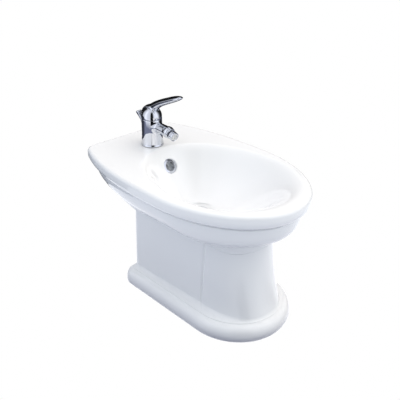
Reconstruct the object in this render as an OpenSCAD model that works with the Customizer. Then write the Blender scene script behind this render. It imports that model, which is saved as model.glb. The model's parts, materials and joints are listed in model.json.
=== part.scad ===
// Floor-standing bidet with a single-lever mixer, a swivel nozzle and a pop-up waste.
// Millimetres. The floor is z = 0, the front tip points to -Y and the wall side to +Y.

/* [Ceramic rim] */
// Length of the rim from its back edge to its front tip
rim_l = 600; // [580:5:620]
// Greatest width of the rim
rim_w = 380; // [370:2:390]
// Height of the rim above the floor
rim_h = 370; // [366:1:376]
// Width of the straight back edge between the corner arcs
back_w = 234; // [228:2:240]
// Radius of the two back corners
back_r = 30; // [26:1:34]
// Angle by which the sides lean in at the back corners
back_lean = 23; // [20:1:26]
// Distance of the widest place from the back edge
wide_at = 328; // [316:2:340]
// Thickness of the rim slab
slab_t = 38; // [36:1:40]
// Roundness of the slab's upper edge
slab_top_r = 9; // [6:0.5:10]
// Height of the slab's rounded lower edge
slab_low_r = 22; // [18:1:24]
// Depth of that rounding
slab_low_d = 17; // [14:1:19]
// Depth of the shadow groove under the slab
groove_d = 3.5; // [2:0.5:5]
// Height of the groove and the small step under it
groove_h = 7; // [5:0.5:9]

/* [Ceramic basin] */
// Depth of the basin below the rim
basin_d = 140; // [138:1:142]
// Width of the flat rim left beside the basin
rim_land = 27; // [24:1:30]
// Distance of the basin's back edge from the back of the rim
deck_l = 142; // [140:1:144]
// Distance of the waste centre from the back of the rim
waste_from_back = 290; // [284:1:296]
// How far along the basin wall the steep part begins
basin_shape = 2.6; // [2.5:0.1:2.7]
// How softly the basin leaves the rim
basin_soft = 1.88; // [1.84:0.02:1.92]

/* [Ceramic pedestal] */
// Height of the line where the bowl meets the pedestal
neck_h = 240; // [236:1:244]
// Width of the pedestal's back at the neck
column_w = 226; // [222:1:230]
// Narrowing of each side of the pedestal's back from the neck to the foot
column_taper = 8; // [6:0.5:9]
// Width of the pedestal's round front
nose_w = 193; // [189:1:197]
// Distance of the pedestal's back edge from the back of the rim, at the neck
column_back = 161; // [158:1:164]
// Backward shift of that edge from the neck to the foot
column_back_shift = 19; // [14:1:20]
// Distance of the side crease from the back of the rim, at the neck
crease_at = 411; // [408:1:414]
// Backward shift of the crease from the neck to the foot
crease_shift = 16; // [13:1:19]
// Distance of the pedestal's front tip from the back of the rim, at the neck
column_front = 507; // [503:1:511]
// Forward flare of that tip from the neck to the foot
nose_flare = 29; // [26:1:32]
// Height of the moulding round the neck
neck_band = 14; // [10:1:16]
// Depth of the crease between the flat side and the round front
crease_d = 2.5; // [1.5:0.5:3.5]
// Width of the plinth
plinth_w = 274; // [270:1:278]
// Distance of the plinth's back edge from the back of the rim
plinth_back = 131; // [129:1:133]
// Distance of the plinth's front tip from the back of the rim
plinth_front = 565; // [561:1:569]
// Height of the plinth's round roll
roll_h = 48; // [46:1:50]
// Depth of the roll from its outermost line to its top
roll_d = 19; // [18:0.5:21]
// Height of the cove above the roll
ledge_h = 13; // [11:0.5:14]

/* [Ceramic walls] */
// Thickness of the outer skin
skin_t = 10; // [9:0.5:11]
// Thickness of the basin's floor
floor_t = 12; // [11:0.5:13]
// Thickness of the deck under the tap
deck_t = 18; // [17:0.5:19]
// Width of the opening at the back of the pedestal
opening_w = 150; // [140:2:160]
// Height of that opening
opening_h = 310; // [304:1:314]
// Diameter of the tap hole
tap_hole = 35; // [35:0.5:36]
// Diameter of the waste hole
waste_hole = 46; // [45:0.5:47]
// Diameter of the floor fixing sleeves' holes
lug_hole = 12; // [11:0.5:13]

/* [Overflow] */
// Diameter of the overflow ring
ring_d = 40; // [38:1:41]
// Inside diameter of the overflow ring
ring_bore = 27; // [25:1:29]
// How far up the basin's back wall the ring sits
ring_s = 0.754; // [0.74:0.002:0.77]

/* [Mixer tap] */
// Distance of the tap's centre from the back of the rim
tap_at = 108; // [107:1:109]
// Diameter of the tap's foot
foot_d = 60; // [58:1:62]
// Diameter of the tap's body at the seam
body_d = 54; // [53:0.5:55]
// Height of the seam above the deck
seam_h = 73; // [72:0.5:75]
// Height of the ball joint above the deck
ball_h = 52; // [51:0.5:53]
// Distance of the ball joint from the tap's centre line
ball_at = 66; // [64:1:68]
// Diameter of the spout arm
arm_d = 26.5; // [26:0.5:27]
// Downward angle of the nozzle
nozzle_down = 16; // [12:1:20]
// Diameter of the nozzle
nozzle_d = 24; // [23:0.5:24.5]
// Distance of the nozzle's mouth from the ball's centre
nozzle_l = 26; // [26:0.5:28]
// Reach of the lever from the tap's centre line
lever_reach = 118; // [114:1:122]
// Width of the lever
lever_w = 24; // [22:0.5:25]
// Length of the supply tails below the deck
tail_l = 250; // [230:5:270]
// Diameter of the supply tails
tail_d = 10; // [10:0.5:10.5]

/* [Pop-up waste] */
// Diameter of the waste flange
flange_d = 64; // [62:1:66]
// Diameter of the waste's threaded tube
tube_d = 41.6; // [41:0.2:42]
// Diameter of the plug
plug_d = 50; // [48:1:52]
// Diameter of the outlet pipe
outlet_d = 32; // [32:0.5:33]
// Height of the outlet pipe's end above the floor
outlet_end = 70; // [60:5:80]
// Backward lean of the lift rod
lift_lean = 28; // [27.5:0.5:28.5]
// Diameter of the lift rod
lift_d = 6; // [5.6:0.2:6]
// Diameter of the pivot rod
pivot_d = 5; // [4.6:0.2:5]

/* [Hidden] */
$fn = 72;

// Places along Y are measured from the middle of the rim's length
back_y = rim_l / 2;
front_y = -rim_l / 2;
wide_y = back_y - wide_at;
tap_y = back_y - tap_at;
waste_y = back_y - waste_from_back;

// Clearances: fixed fits, bored seats and moving pairs
fit = 0.1;
move = 0.3;

// Counts of points round half an outline
back_n = 3;
corner_n = 5;
side_u = [1, 0.86, 0.72, 0.58, 0.44, 0.31, 0.18, 0.08, 0.02];
front_v = [0, 3, 9, 16, 24, 32, 40, 48, 56, 64, 72, 79, 85, 90];
crease_i = back_n + corner_n + len(side_u);
half_n = crease_i + len(front_v) - 1;
ring_n = 2 * half_n;

// Half of an outline seen from above, from the middle of the back to the front tip
function half_outline(yb, xc, rc, lean, a, ym, b, n) =
    let (
        xe = xc + rc * cos(lean),
        ye = yb - rc + rc * sin(lean),
        m = lean == 0 ? 1 : tan(lean) * (ye - ym) / (a - xe)
    )
    concat(
        [for (i = [0 : back_n - 1]) [xc * i / back_n, yb]],
        [for (i = [0 : corner_n - 1])
            let (t = 90 - (90 - lean) * i / corner_n)
            [xc + rc * cos(t), yb - rc + rc * sin(t)]],
        [for (u = side_u) [a - (a - xe) * pow(u, m), ym + (ye - ym) * u]],
        [for (v = front_v) [a * pow(cos(v), 2 / n), ym - b * pow(sin(v), 2 / n)]]
    );

function whole(h) = concat(h, [for (i = [half_n - 1 : -1 : 1]) [-h[i][0], h[i][1]]]);

function outline(yb, xc, rc, lean, a, ym, b, n = 2) = whole(half_outline(yb, xc, rc, lean, a, ym, b, n));

// The outward direction at point i of a closed outline
function outward(p, i) =
    let (t = p[(i + 1) % ring_n] - p[(i + ring_n - 1) % ring_n])
    [-t[1], t[0]] / norm(t);

function inset(p, d) = [for (i = [0 : ring_n - 1]) p[i] - d * outward(p, i)];

function mix(p, q, k) = [for (i = [0 : ring_n - 1]) p[i] * (1 - k) + q[i] * k];

function at_height(p, z) = [for (q = p) [q[0], q[1], z]];

// The crease cuts in at one point on each side
function creased(p, d) = [for (i = [0 : ring_n - 1])
    i == crease_i || i == ring_n - crease_i ? p[i] - d * outward(p, i) : p[i]];

// Outline of the rim
rim_line = outline(back_y, back_w / 2, back_r, back_lean, rim_w / 2, wide_y, wide_y - front_y);

// Outline of the plinth, whose roll is flatter along the back
plinth_y = back_y - plinth_back;
plinth_r = 23.5;
plinth_nose = 145;
flat_back = 0.35;
plinth_line = outline(plinth_y, plinth_w / 2 - plinth_r, plinth_r, 0, plinth_w / 2,
    back_y - plinth_front + plinth_nose, plinth_nose);
function rolled(d) = [for (i = [0 : ring_n - 1])
    let (o = outward(plinth_line, i))
    plinth_line[i] - d * [o[0], o[1] > 0 ? flat_back * o[1] : o[1]]];

// Outline of the pedestal, k = 0 at the neck and 1 at the foot
column_r = 14;
nose_fullness = 0.5;
function column_line(k) =
    let (
        w = column_w / 2 - column_taper * k,
        ym = back_y - crease_at + crease_shift * k
    )
    creased(outline(back_y - column_back + column_back_shift * k, w - column_r, column_r, 0, nose_w / 2,
        ym, ym - back_y + column_front + nose_flare * k * k, 2 + nose_fullness * k), crease_d);

// Basin: an egg shape at the top that shrinks towards the waste
egg_y = -84;
egg_a = rim_w / 2 - rim_land;
egg_back = back_y - deck_l - egg_y;
egg_front = egg_y - (front_y + rim_land);
function egg(p) =
    let (
        d = [p[0], p[1] - egg_y],
        t = d / norm(d),
        b = t[1] > 0 ? egg_back : egg_front
    )
    [0, egg_y] + t / sqrt(pow(t[0] / egg_a, 2) + pow(t[1] / b, 2));
basin_line = [for (p = rim_line) egg(p)];
function basin_at(s) = [for (p = basin_line) [0, waste_y] + s * (p - [0, waste_y])];
function basin_depth(s) = basin_d * pow(1 - pow(s, basin_shape), basin_soft);
basin_s = [1, 0.96, 0.92, 0.88, 0.83, 0.77, 0.71, 0.64, 0.56, 0.47, 0.37, 0.27];
under_s = [0.3, 0.42, 0.54, 0.66, 0.77, 0.86];
under_out = 8;
ceiling_z = rim_h - 24;

// Heights of the outer skin
foot_z = roll_h + ledge_h;
slab_z = rim_h - slab_t;
band_z = slab_z - groove_h;
groove_in = slab_low_d + groove_d;

// Bowl underside, h = 0 at the slab and 1 at the neck
under_h = [0.14, 0.28, 0.42, 0.56, 0.7, 0.82, 0.92, 1];
function fullness(i) = 2.1 + 1.4 * max(0, min(1, (wide_y - rim_line[i][1]) / 180));
function under_mix(h, i) = 0.1 * h + 0.9 * pow(h, fullness(i));
neck_top = neck_h + neck_band;
function under_z(h) = band_z + (neck_top + 1.5 - band_z) * h;
function under_ring(h) =
    let (p = inset(rim_line, groove_in - 1), q = inset(column_line(0), -4.5))
    [for (i = [0 : ring_n - 1]) p[i] + (q[i] - p[i]) * under_mix(h, i)];

roll_angles = [-78, -50, -25, 0, 25, 50, 72, 86];

// All rings of the outer skin from the floor to the basin's edge
skin_rings = concat(
    [for (t = roll_angles) at_height(rolled(roll_d * (1 - cos(t))), roll_h / 2 * (1 + sin(t) / sin(78)))],
    [
        at_height(rolled(roll_d + 0.4), roll_h + 1.2),
        at_height(rolled(roll_d + 1.8), roll_h + 2.2),
        at_height(mix(rolled(roll_d + 1.8), column_line(1), 0.4), roll_h + 4),
        at_height(mix(rolled(roll_d + 1.8), column_line(1), 0.8), roll_h + 8),
        at_height(column_line(1), foot_z),
        at_height(column_line(0.66), foot_z + (neck_h - foot_z) / 3),
        at_height(column_line(0.33), foot_z + (neck_h - foot_z) * 2 / 3),
        at_height(column_line(0.02), neck_h - 3),
        at_height(inset(column_line(0), -1.2), neck_h + 1),
        at_height(inset(column_line(0), -3.2), neck_h + 5),
        at_height(inset(column_line(0), -3.5), neck_top - 2)
    ],
    [for (i = [len(under_h) - 1 : -1 : 0]) at_height(under_ring(under_h[i]), under_z(under_h[i]))],
    [
        at_height(inset(rim_line, groove_in - 1.2), band_z + 2.5),
        at_height(inset(rim_line, groove_in), band_z + 3.5),
        at_height(inset(rim_line, groove_in), slab_z)
    ],
    [for (t = [90, 67, 45, 22, 0]) at_height(inset(rim_line, slab_low_d * (1 - cos(t))),
        slab_z + slab_low_r * (1 - sin(t)))],
    [for (t = [0, 30, 60, 90]) at_height(inset(rim_line, slab_top_r * (1 - cos(t))),
        rim_h - slab_top_r * (1 - sin(t)))]
);

basin_rings = [for (s = basin_s) at_height(basin_at(s), rim_h - basin_depth(s))];
under_rings = [for (s = under_s) at_height(inset(basin_at(s), -under_out), rim_h - basin_depth(s) - floor_t)];
inner_z = [ceiling_z, band_z - 4, band_z - 30, neck_top + 2, neck_h - 4];
function inner_line(z) = z > neck_top
    ? inset(under_ring((band_z - z) / (band_z - neck_top)), skin_t)
    : inset(column_line((neck_h - z) / (neck_h - foot_z)), skin_t + 1);
inner_rings = concat(
    [for (z = inner_z) at_height(inner_line(min(z, band_z)), z)],
    [
        at_height(inset(column_line(0.8), skin_t + 1), foot_z + 30),
        at_height(inset(column_line(1), skin_t), foot_z - 14),
        at_height(rolled(roll_d + skin_t), 12),
        at_height(rolled(roll_d + skin_t - 4), 0)
    ]
);

shell_rings = concat(
    [for (i = [len(basin_rings) - 1 : -1 : 0]) basin_rings[i]],
    [for (i = [len(skin_rings) - 1 : -1 : 0]) skin_rings[i]],
    [for (i = [len(inner_rings) - 1 : -1 : 0]) inner_rings[i]],
    [for (i = [len(under_rings) - 1 : -1 : 0]) under_rings[i]]
);

// One closed skin through all rings, with a point at each end
module skin(rings, first, last) {
    m = len(rings);
    n = len(rings[0]);
    points = concat([first], [for (r = rings) each r], [last]);
    faces = concat(
        [for (i = [0 : n - 1]) [0, 1 + i, 1 + (i + 1) % n]],
        [for (j = [0 : m - 2], i = [0 : n - 1])
            let (a = 1 + j * n + i, b = 1 + j * n + (i + 1) % n)
            [a, a + n, b]],
        [for (j = [0 : m - 2], i = [0 : n - 1])
            let (a = 1 + j * n + i, b = 1 + j * n + (i + 1) % n)
            [b, a + n, b + n]],
        [for (i = [0 : n - 1])
            let (e = 1 + (m - 1) * n)
            [e + i, 1 + m * n, e + (i + 1) % n]]
    );
    polyhedron(points, faces, convexity = 8);
}

// A straight bar or bore between two points
module bar(p, q, r) {
    v = q - p;
    translate(p)
        rotate([0, acos(v[2] / norm(v)), atan2(v[1], v[0])])
            cylinder(r = r, h = norm(v));
}

// A flat ring that starts at height z
module flat_ring(z, h, r_out, r_in) {
    translate([0, 0, z])
        difference() {
            cylinder(r = r_out, h = h);
            translate([0, 0, -1])
                cylinder(r = r_in, h = h + 2);
        }
}

// Overflow ring frame: z points out of the basin's back wall
ring_y = waste_y + ring_s * (back_y - deck_l - waste_y);
ring_z = rim_h - basin_depth(ring_s);
ring_lean = 58;
module at_overflow() {
    translate([0, ring_y, ring_z])
        rotate([ring_lean, 0, 0])
            children();
}
sleeve_d = 31;
seat_d = ring_d + 1;
ring_seat = 2.6;
duct_in = 30;
duct_top = [0, ring_y + duct_in * sin(ring_lean), ring_z - duct_in * cos(ring_lean)];
duct_r = 9.5;
duct_wall = 6.5;
boss_r = 37;
boss_low = rim_h - basin_d - 43;
duct_bend = [0, ring_y + 8, ring_z - 80];
duct_end = [0, waste_y + 20, boss_low + 17];

// Feet inside the pedestal that take the fixing sleeves
lug_x = 88;
lug_y = back_y - 208;
lug_h = 22;
lug_r = 17;
lug_out = 26;
corner_r = 30;

// Heights of the waste, from the basin's bottom down
bottom_z = rim_h - basin_d;
seat_z = bottom_z - 2.5;
flange_z = bottom_z - 1;
tube_z = bottom_z - 76.4;
tee_seat_z = bottom_z - 78;
tee_top = bottom_z - 65;
tee_low = bottom_z - 120;
pivot_z = bottom_z - 88;
pivot_y = waste_y + 34;
tube_bore = 17.5;
tee_r = 25;
chamber_r = 18;
port_r = 11;
ball_r = 6;

module duct(r) {
    knuckle = 1.04 * r;
    bar(duct_top, duct_bend, r);
    bar(duct_bend, duct_end, r);
    translate(duct_bend)
        sphere(r = knuckle);
    translate(duct_top)
        sphere(r = knuckle);
}

// Opening at the back of the shell, with a round-cornered top
module back_opening() {
    low = opening_h - corner_r;
    translate([0, back_y + 1, 0])
        rotate([90, 0, 0])
            linear_extrude(height = back_y - lug_y - lug_r - 3)
                union() {
                    translate([-opening_w / 2, -1])
                        square([opening_w, low + 1]);
                    translate([-opening_w / 2 + corner_r, low - 1])
                        square([opening_w - 2 * corner_r, corner_r + 1]);
                    for (x = [-1, 1])
                        translate([x * (opening_w / 2 - corner_r), low])
                            circle(r = corner_r);
                }
}

module ceramic_body() {
    $fn = 36;
    color("white")
        difference() {
            union() {
                difference() {
                    skin(shell_rings, [0, waste_y, bottom_z], [0, waste_y, bottom_z - floor_t]);
                    back_opening();
                }
                translate([0, waste_y, boss_low])
                    cylinder(r = boss_r, h = seat_z - boss_low - 4);
                duct(duct_r + duct_wall);
                for (x = [-1, 1])
                    translate([x * (lug_x + (lug_out - lug_r) / 2) - (lug_out + lug_r) / 2, lug_y - lug_r, 0])
                        cube([lug_out + lug_r, 2 * lug_r, lug_h]);
            }
            // Room under the deck for the tap's fixings
            translate([-58, tap_y - 32, ceiling_z - 22])
                cube([116, 88, rim_h - deck_t - ceiling_z + 22]);
            translate([0, tap_y, rim_h - deck_t - 1])
                cylinder(d = tap_hole, h = deck_t + 2);
            // Overflow
            at_overflow() {
                translate([0, 0, -ring_seat])
                    cylinder(d = seat_d, h = 20);
                translate([0, 0, -duct_in])
                    cylinder(d = sleeve_d, h = duct_in + 1);
            }
            duct(duct_r);
            // Waste
            translate([0, waste_y, boss_low - 1])
                cylinder(d = waste_hole, h = 80);
            translate([0, waste_y, seat_z])
                cylinder(d = flange_d + 2, h = 30);
            for (x = [-lug_x, lug_x])
                translate([x, lug_y, -1])
                    cylinder(d = lug_hole, h = lug_h + 2);
        }
}

// Domed flange on a sleeve that lines the overflow hole
module overflow_ring() {
    dome_r = 60;
    crown = 1.4;
    color("silver")
        at_overflow()
            difference() {
                union() {
                    intersection() {
                        translate([0, 0, -ring_seat])
                            cylinder(d = ring_d, h = 6);
                        translate([0, 0, crown - dome_r])
                            sphere(r = dome_r);
                    }
                    translate([0, 0, -18])
                        cylinder(d = sleeve_d - 2 * move, h = 18 - ring_seat + 0.5);
                }
                translate([0, 0, -20])
                    cylinder(d = ring_bore, h = 30);
            }
}

module fixing_sleeves() {
    color("ivory")
        for (x = [-lug_x, lug_x])
            translate([x, lug_y, 0])
                difference() {
                    union() {
                        cylinder(d = lug_hole - 2 * fit, h = lug_h + 1);
                        translate([0, 0, lug_h])
                            cylinder(r = 10, h = 2.5);
                    }
                    translate([0, 0, -1])
                        cylinder(d = 6.5, h = lug_h + 6);
                }
}

// Tap frame: the origin is on the deck under the tap's centre line, -Y is the front
module on_deck() {
    translate([0, tap_y, rim_h])
        children();
}

// Ball joint frame: z points out of the nozzle
module at_ball() {
    translate([0, tap_y - ball_at, rim_h + ball_h])
        rotate([90 + nozzle_down, 0, 0])
            children();
}

// Pivot frame of the lever, at the centre of the dome
pivot_h = seam_h + 6;
module at_pivot() {
    translate([0, tap_y, rim_h + pivot_h])
        children();
}

foot_low = 1.2;
recess_h = 8;
recess_r = 24;
chamber_h = 49;
cart_r = 17.6;
shoulder_h = seam_h - 10;
nut_bore = 21;
joint_r = 15.3;
cavity_r = 11.9;
face_n = 5;
spigot_r = 12;
stud_x = 13;
stud_y = 6;
stud_r = 3;
tail_x = 8;
tail_y = -9;
port_x = 8;
lift_foot = 12.7;

// Lift rod frame: z runs up the leaning rod from where it crosses the deck
module on_lift() {
    translate([0, tap_y + lift_foot, rim_h])
        rotate([-lift_lean, 0, 0])
            children();
}

module ports(z, h, r) {
    for (p = [[-port_x, stud_y], [port_x, stud_y], [0, -port_x]])
        translate([p[0], p[1], z])
            cylinder(r = r, h = h);
}

// Foot, barrel and spout arm in one casting
module tap_body() {
    f = foot_d / 2;
    b = body_d / 2;
    side = [
        [f, foot_low], [f, foot_low + 1.8], [f - 0.8, 5.5], [f - 1.4, 9], [f - 1.9, 13], [f - 2.5, 20],
        [f - 2.9, 28], [b, 38], [b - 0.1, 48], [b - 0.1, seam_h - 12], [b, seam_h]
    ];
    color("silver")
        difference() {
            union() {
                on_deck() {
                    rotate_extrude()
                        polygon(concat([[0, foot_low]], side, [[0, seam_h]]));
                    bar([0, -20, 55], [0, -ball_at, ball_h], arm_d / 2);
                }
                at_ball()
                    intersection() {
                        sphere(r = joint_r);
                        translate([0, 0, -20])
                            cylinder(r = 20, h = 20 + face_n);
                    }
            }
            on_deck() {
                cylinder(r = recess_r, h = recess_h);
                translate([0, 0, chamber_h])
                    cylinder(r = cart_r + fit, h = seam_h);
                translate([0, 0, shoulder_h])
                    cylinder(r = nut_bore, h = seam_h);
                for (x = [-1, 1]) {
                    translate([x * tail_x, tail_y, 0])
                        cylinder(r = tail_d / 2 + fit, h = 20);
                    bar([x * tail_x, tail_y, 18], [x * port_x, stud_y, chamber_h + 1], 3.4);
                    translate([x * stud_x, stud_y, 0])
                        cylinder(r = stud_r, h = 18);
                }
                translate([0, -port_x, 43.5])
                    cylinder(r = 3.6, h = 10);
                translate([0, -port_x, 43.5])
                    sphere(r = 3.6);
                bar([0, -port_x, 43.5], [0, -ball_at, ball_h], 3.6);
            }
            at_ball() {
                sphere(r = cavity_r);
                cylinder(r = spigot_r + fit, h = 10);
            }
            on_lift()
                translate([0, 0, -10])
                    cylinder(r = lift_d / 2 + move, h = 60);
        }
}

module base_seal() {
    color("dimgray")
        on_deck()
            flat_ring(0, foot_low, foot_d / 2 - 1, recess_r + 0.5);
}

module tap_studs() {
    color("goldenrod")
        on_deck()
            for (x = [-stud_x, stud_x])
                translate([x, stud_y, -45])
                    cylinder(r = stud_r, h = 63);
}

// Round plate with a slot for the lift rod and openings for the tails and studs
module horseshoe(z, h) {
    open_r = tail_d / 2 + 0.6;
    translate([0, 0, z])
        difference() {
            cylinder(r = 26, h = h);
            for (x = [-tail_x, tail_x])
                translate([x, tail_y, -1])
                    cylinder(r = open_r, h = h + 2);
            translate([-tail_x, tail_y - open_r, -1])
                cube([2 * tail_x, 2 * open_r, h + 2]);
            translate([-3.6, tail_y, -1])
                cube([7.2, 40, h + 2]);
            for (x = [-stud_x, stud_x])
                translate([x, stud_y, -1])
                    cylinder(r = stud_r + 0.2, h = h + 2);
        }
}

gasket_h = 3;
plate_h = 3;
module tap_gasket() {
    color("dimgray")
        on_deck()
            horseshoe(-deck_t - gasket_h, gasket_h);
}

module tap_clamp_plate() {
    color("lightgray")
        on_deck()
            horseshoe(-deck_t - gasket_h - plate_h, plate_h);
}

module tap_nuts() {
    color("goldenrod")
        on_deck()
            for (x = [-stud_x, stud_x])
                translate([x, stud_y, -deck_t - gasket_h - plate_h - 10])
                    difference() {
                        cylinder(r = 5 / cos(30), h = 10, $fn = 6);
                        translate([0, 0, -1])
                            cylinder(r = stud_r, h = 12);
                    }
}

// Copper tail: straight through the tap hole, out to one side, then down to a free end under a stop bead
free_end = 30;
tail_top = 18;
tail_bend = -60;
tail_drop = -110;
tail_out = 30;
module tail_path(side, r, over) {
    bend = [side * tail_x, tail_y, tail_bend];
    drop = [side * tail_out, tail_y, tail_drop];
    bar([side * tail_x, tail_y, tail_top + over], bend, r);
    bar(bend, drop, r);
    bar(drop, [side * tail_out, tail_y, -tail_l - over], r);
    translate(bend)
        sphere(r = 1.04 * r);
    translate(drop)
        sphere(r = 1.04 * r);
}

module supply_tail(side) {
    difference() {
        union() {
            tail_path(side, tail_d / 2, 0);
            translate([side * tail_out, tail_y, free_end - tail_l])
                cylinder(r = tail_d / 2 + 1, h = 2);
        }
        tail_path(side, tail_d / 2 - 1, 1);
    }
}

module supply_tail_cold() {
    color("peru")
        on_deck()
            supply_tail(1);
}

module supply_tail_hot() {
    color("peru")
        on_deck()
            supply_tail(-1);
}

seal_t = 0.8;
module cartridge_seals() {
    color("dimgray")
        on_deck()
            difference() {
                ports(chamber_h, seal_t, 4.8);
                ports(chamber_h - 1, 4, 3.6);
            }
}

neck_r = 13.2;
rotor_r = 10.1;
module cartridge_body() {
    color("whitesmoke")
        on_deck()
            difference() {
                union() {
                    translate([0, 0, chamber_h + seal_t])
                        cylinder(r = cart_r, h = shoulder_h - chamber_h - seal_t);
                    translate([0, 0, shoulder_h - 1])
                        cylinder(r = neck_r, h = 15);
                }
                translate([0, 0, seam_h - 6])
                    cylinder(r = rotor_r + move, h = 30);
                ports(chamber_h, 8, 3.4);
            }
}

module cartridge_nut() {
    color("goldenrod")
        on_deck()
            flat_ring(shoulder_h, 12, nut_bore - fit, neck_r + move);
}

dome_r = 26.9;
shell_r = 24.6;
module dome_bearing() {
    color("ivory")
        on_deck()
            flat_ring(seam_h, 6, shell_r - move, nut_bore + 0.2);
}

// Slot in the side view, between two angles from the vertical
module tilt_slot(w, from, to) {
    rotate([90, 0, 90])
        linear_extrude(height = w, center = true)
            polygon(concat([[0, 0]], [for (i = [0 : 4])
                let (t = from + (to - from) * i / 4)
                [60 * sin(t), 60 * cos(t)]]));
}

module dome_cover() {
    skirt = pivot_h - seam_h - 0.4;
    color("silver")
        at_pivot()
            difference() {
                union() {
                    intersection() {
                        sphere(r = dome_r);
                        cylinder(r = 30, h = 30);
                    }
                    translate([0, 0, -skirt])
                        cylinder(r = dome_r, h = skirt);
                }
                sphere(r = shell_r);
                translate([0, 0, -skirt - 1])
                    cylinder(r = shell_r, h = skirt + 1);
                tilt_slot(13.2, -16, 68);
            }
}

stem_ball = 5;
stem_w = 8;
stem_low = 2.3;
module cartridge_rotor() {
    color("white")
        at_pivot()
            difference() {
                translate([0, 0, seam_h - 5.7 - pivot_h])
                    cylinder(r = rotor_r, h = 15.7);
                sphere(r = stem_ball + move);
                translate([-stem_w / 2 - move, -4.5, 0])
                    cube([stem_w + 2 * move, 11.5, 6]);
            }
}

module cartridge_stem() {
    color("lightgray")
        at_pivot()
            union() {
                sphere(r = stem_ball);
                translate([-stem_w / 2, -stem_w / 2, stem_low])
                    cube([stem_w, stem_w, 25 - stem_low]);
            }
}

// Lever: a saddle over the dome that runs out into a paddle
saddle_in = dome_r + 0.35;
saddle_out = 30.3;
paddle = [
    [-12, 104, 88, 9.5], [0, 111, 88, 12], [12, 117.2, 92, 12.4], [24, 122.9, 103, 12.4],
    [36.6, 129, 113.5, 12.3], [50, 135.2, 120.6, 12.2], [65, 141.5, 127.5, 12.1], [80, 147.7, 134.1, 12],
    [94, 152.8, 140, 11.8], [103, 155.4, 144, 11.4], [110, 156.6, 147.2, 10.4], [114.5, 156.3, 149.6, 8.6],
    [117, 155.2, 151.3, 6]
];
function paddle_ring(p) = [for (i = [0 : 27])
    let (t = 360 * i / 28, c = cos(t), e = sin(t))
    [
        p[3] * lever_w / 24 * sign(c) * pow(abs(c), 0.7),
        -p[0] * lever_reach / 118,
        (p[1] + p[2]) / 2 + (p[1] - p[2]) / 2 * sign(e) * pow(abs(e), 0.7)
    ]];
grub_from = [0, 14.8, 23.6];
grub_to = [0, 5.6, 17.96];
grub_end = [0, 18, 25.6];
grub_r = 2.5;

module lever_handle() {
    color("silver")
        at_pivot()
            difference() {
                union() {
                    difference() {
                        union() {
                            intersection() {
                                sphere(r = saddle_out);
                                translate([-13, -19, 7.8])
                                    cube([26, 50, 30]);
                            }
                            translate([0, 0, -pivot_h])
                                skin([for (p = paddle) paddle_ring(p)], [0, 12.5, 98],
                                    [0, -lever_reach * 118.2 / 118, 153.4]);
                        }
                        sphere(r = saddle_in);
                    }
                    translate([-6, -6, 10])
                        cube([12, 12, 19]);
                    bar([0, 15.4, 24], [0, 5, 17.6], 4.6);
                }
                translate([-stem_w / 2 - 0.05, -stem_w / 2 - 0.05, 0])
                    cube([stem_w + 0.1, stem_w + 0.1, 25.2]);
                bar(grub_end, [0, 3, 16.37], grub_r + 0.05);
            }
}

module lever_grub_screw() {
    color("dimgray")
        at_pivot()
            difference() {
                bar(grub_from, grub_to, grub_r);
                bar(grub_from + [0, 0.1, 0.0613], grub_from - [0, 2, 1.226], 1.2);
            }
}

module lever_index_plug() {
    color("silver")
        at_pivot()
            intersection() {
                bar(grub_from + [0, 0.3, 0.184], grub_end, grub_r);
                sphere(r = saddle_out);
            }
}

neck_n = 13;
socket_n = 15;
bore_n = 17;
nozzle_ball_r = 9.5;
neck_d = 13.6;
housing_bore = 9.6;

// Cup behind the nozzle's ball
module nozzle_seat() {
    color("ivory")
        at_ball()
            difference() {
                sphere(r = cavity_r - move);
                sphere(r = nozzle_ball_r + move);
                translate([0, 0, -4])
                    cylinder(r = 20, h = 40);
                translate([0, 0, -20])
                    cylinder(r = 5, h = 20);
            }
}

module nozzle_collar() {
    color("silver")
        at_ball()
            difference() {
                union() {
                    translate([0, 0, 0.6])
                        cylinder(r = spigot_r, h = face_n);
                    translate([0, 0, face_n])
                        cylinder(r = 14.2, h = 3.2);
                    translate([0, 0, face_n + 3.2])
                        cylinder(r1 = 14.2, r2 = 13.2, h = 1);
                }
                sphere(r = nozzle_ball_r + move);
                translate([0, 0, 4.4])
                    cylinder(r1 = 8.6, r2 = 10.9, h = 6);
            }
}

module nozzle_ball() {
    color("silver")
        at_ball()
            difference() {
                union() {
                    sphere(r = nozzle_ball_r);
                    cylinder(d = neck_d, h = socket_n);
                }
                translate([0, 0, -12])
                    cylinder(r = 3, h = 40);
            }
}

module nozzle_housing() {
    color("silver")
        at_ball()
            difference() {
                union() {
                    translate([0, 0, neck_n])
                        cylinder(r1 = nozzle_d / 2 - 1, r2 = nozzle_d / 2, h = 1);
                    translate([0, 0, neck_n + 1])
                        cylinder(d = nozzle_d, h = nozzle_l - neck_n - 1);
                }
                translate([0, 0, neck_n - 1])
                    cylinder(d = neck_d + 0.1, h = socket_n - neck_n + 1);
                translate([0, 0, neck_n])
                    cylinder(r = 4, h = 20);
                translate([0, 0, bore_n])
                    cylinder(r = housing_bore, h = 20);
            }
}

washer_t = 1.6;
module aerator_washer() {
    color("dimgray")
        at_ball()
            flat_ring(bore_n, washer_t, housing_bore - 0.2, 4.5);
}

module aerator_insert() {
    low = bore_n + washer_t;
    color("lightgray")
        at_ball()
            difference() {
                translate([0, 0, low])
                    cylinder(r = housing_bore - fit, h = nozzle_l - low - 0.6);
                translate([0, 0, nozzle_l - 3.2])
                    cylinder(r = 8, h = 5);
                for (t = [0 : 60 : 300])
                    rotate([0, 0, t])
                        translate([5, 0, low - 1])
                            cylinder(r = 1.1, h = 12);
                translate([0, 0, low - 1])
                    cylinder(r = 1.1, h = 12);
            }
}

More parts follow.
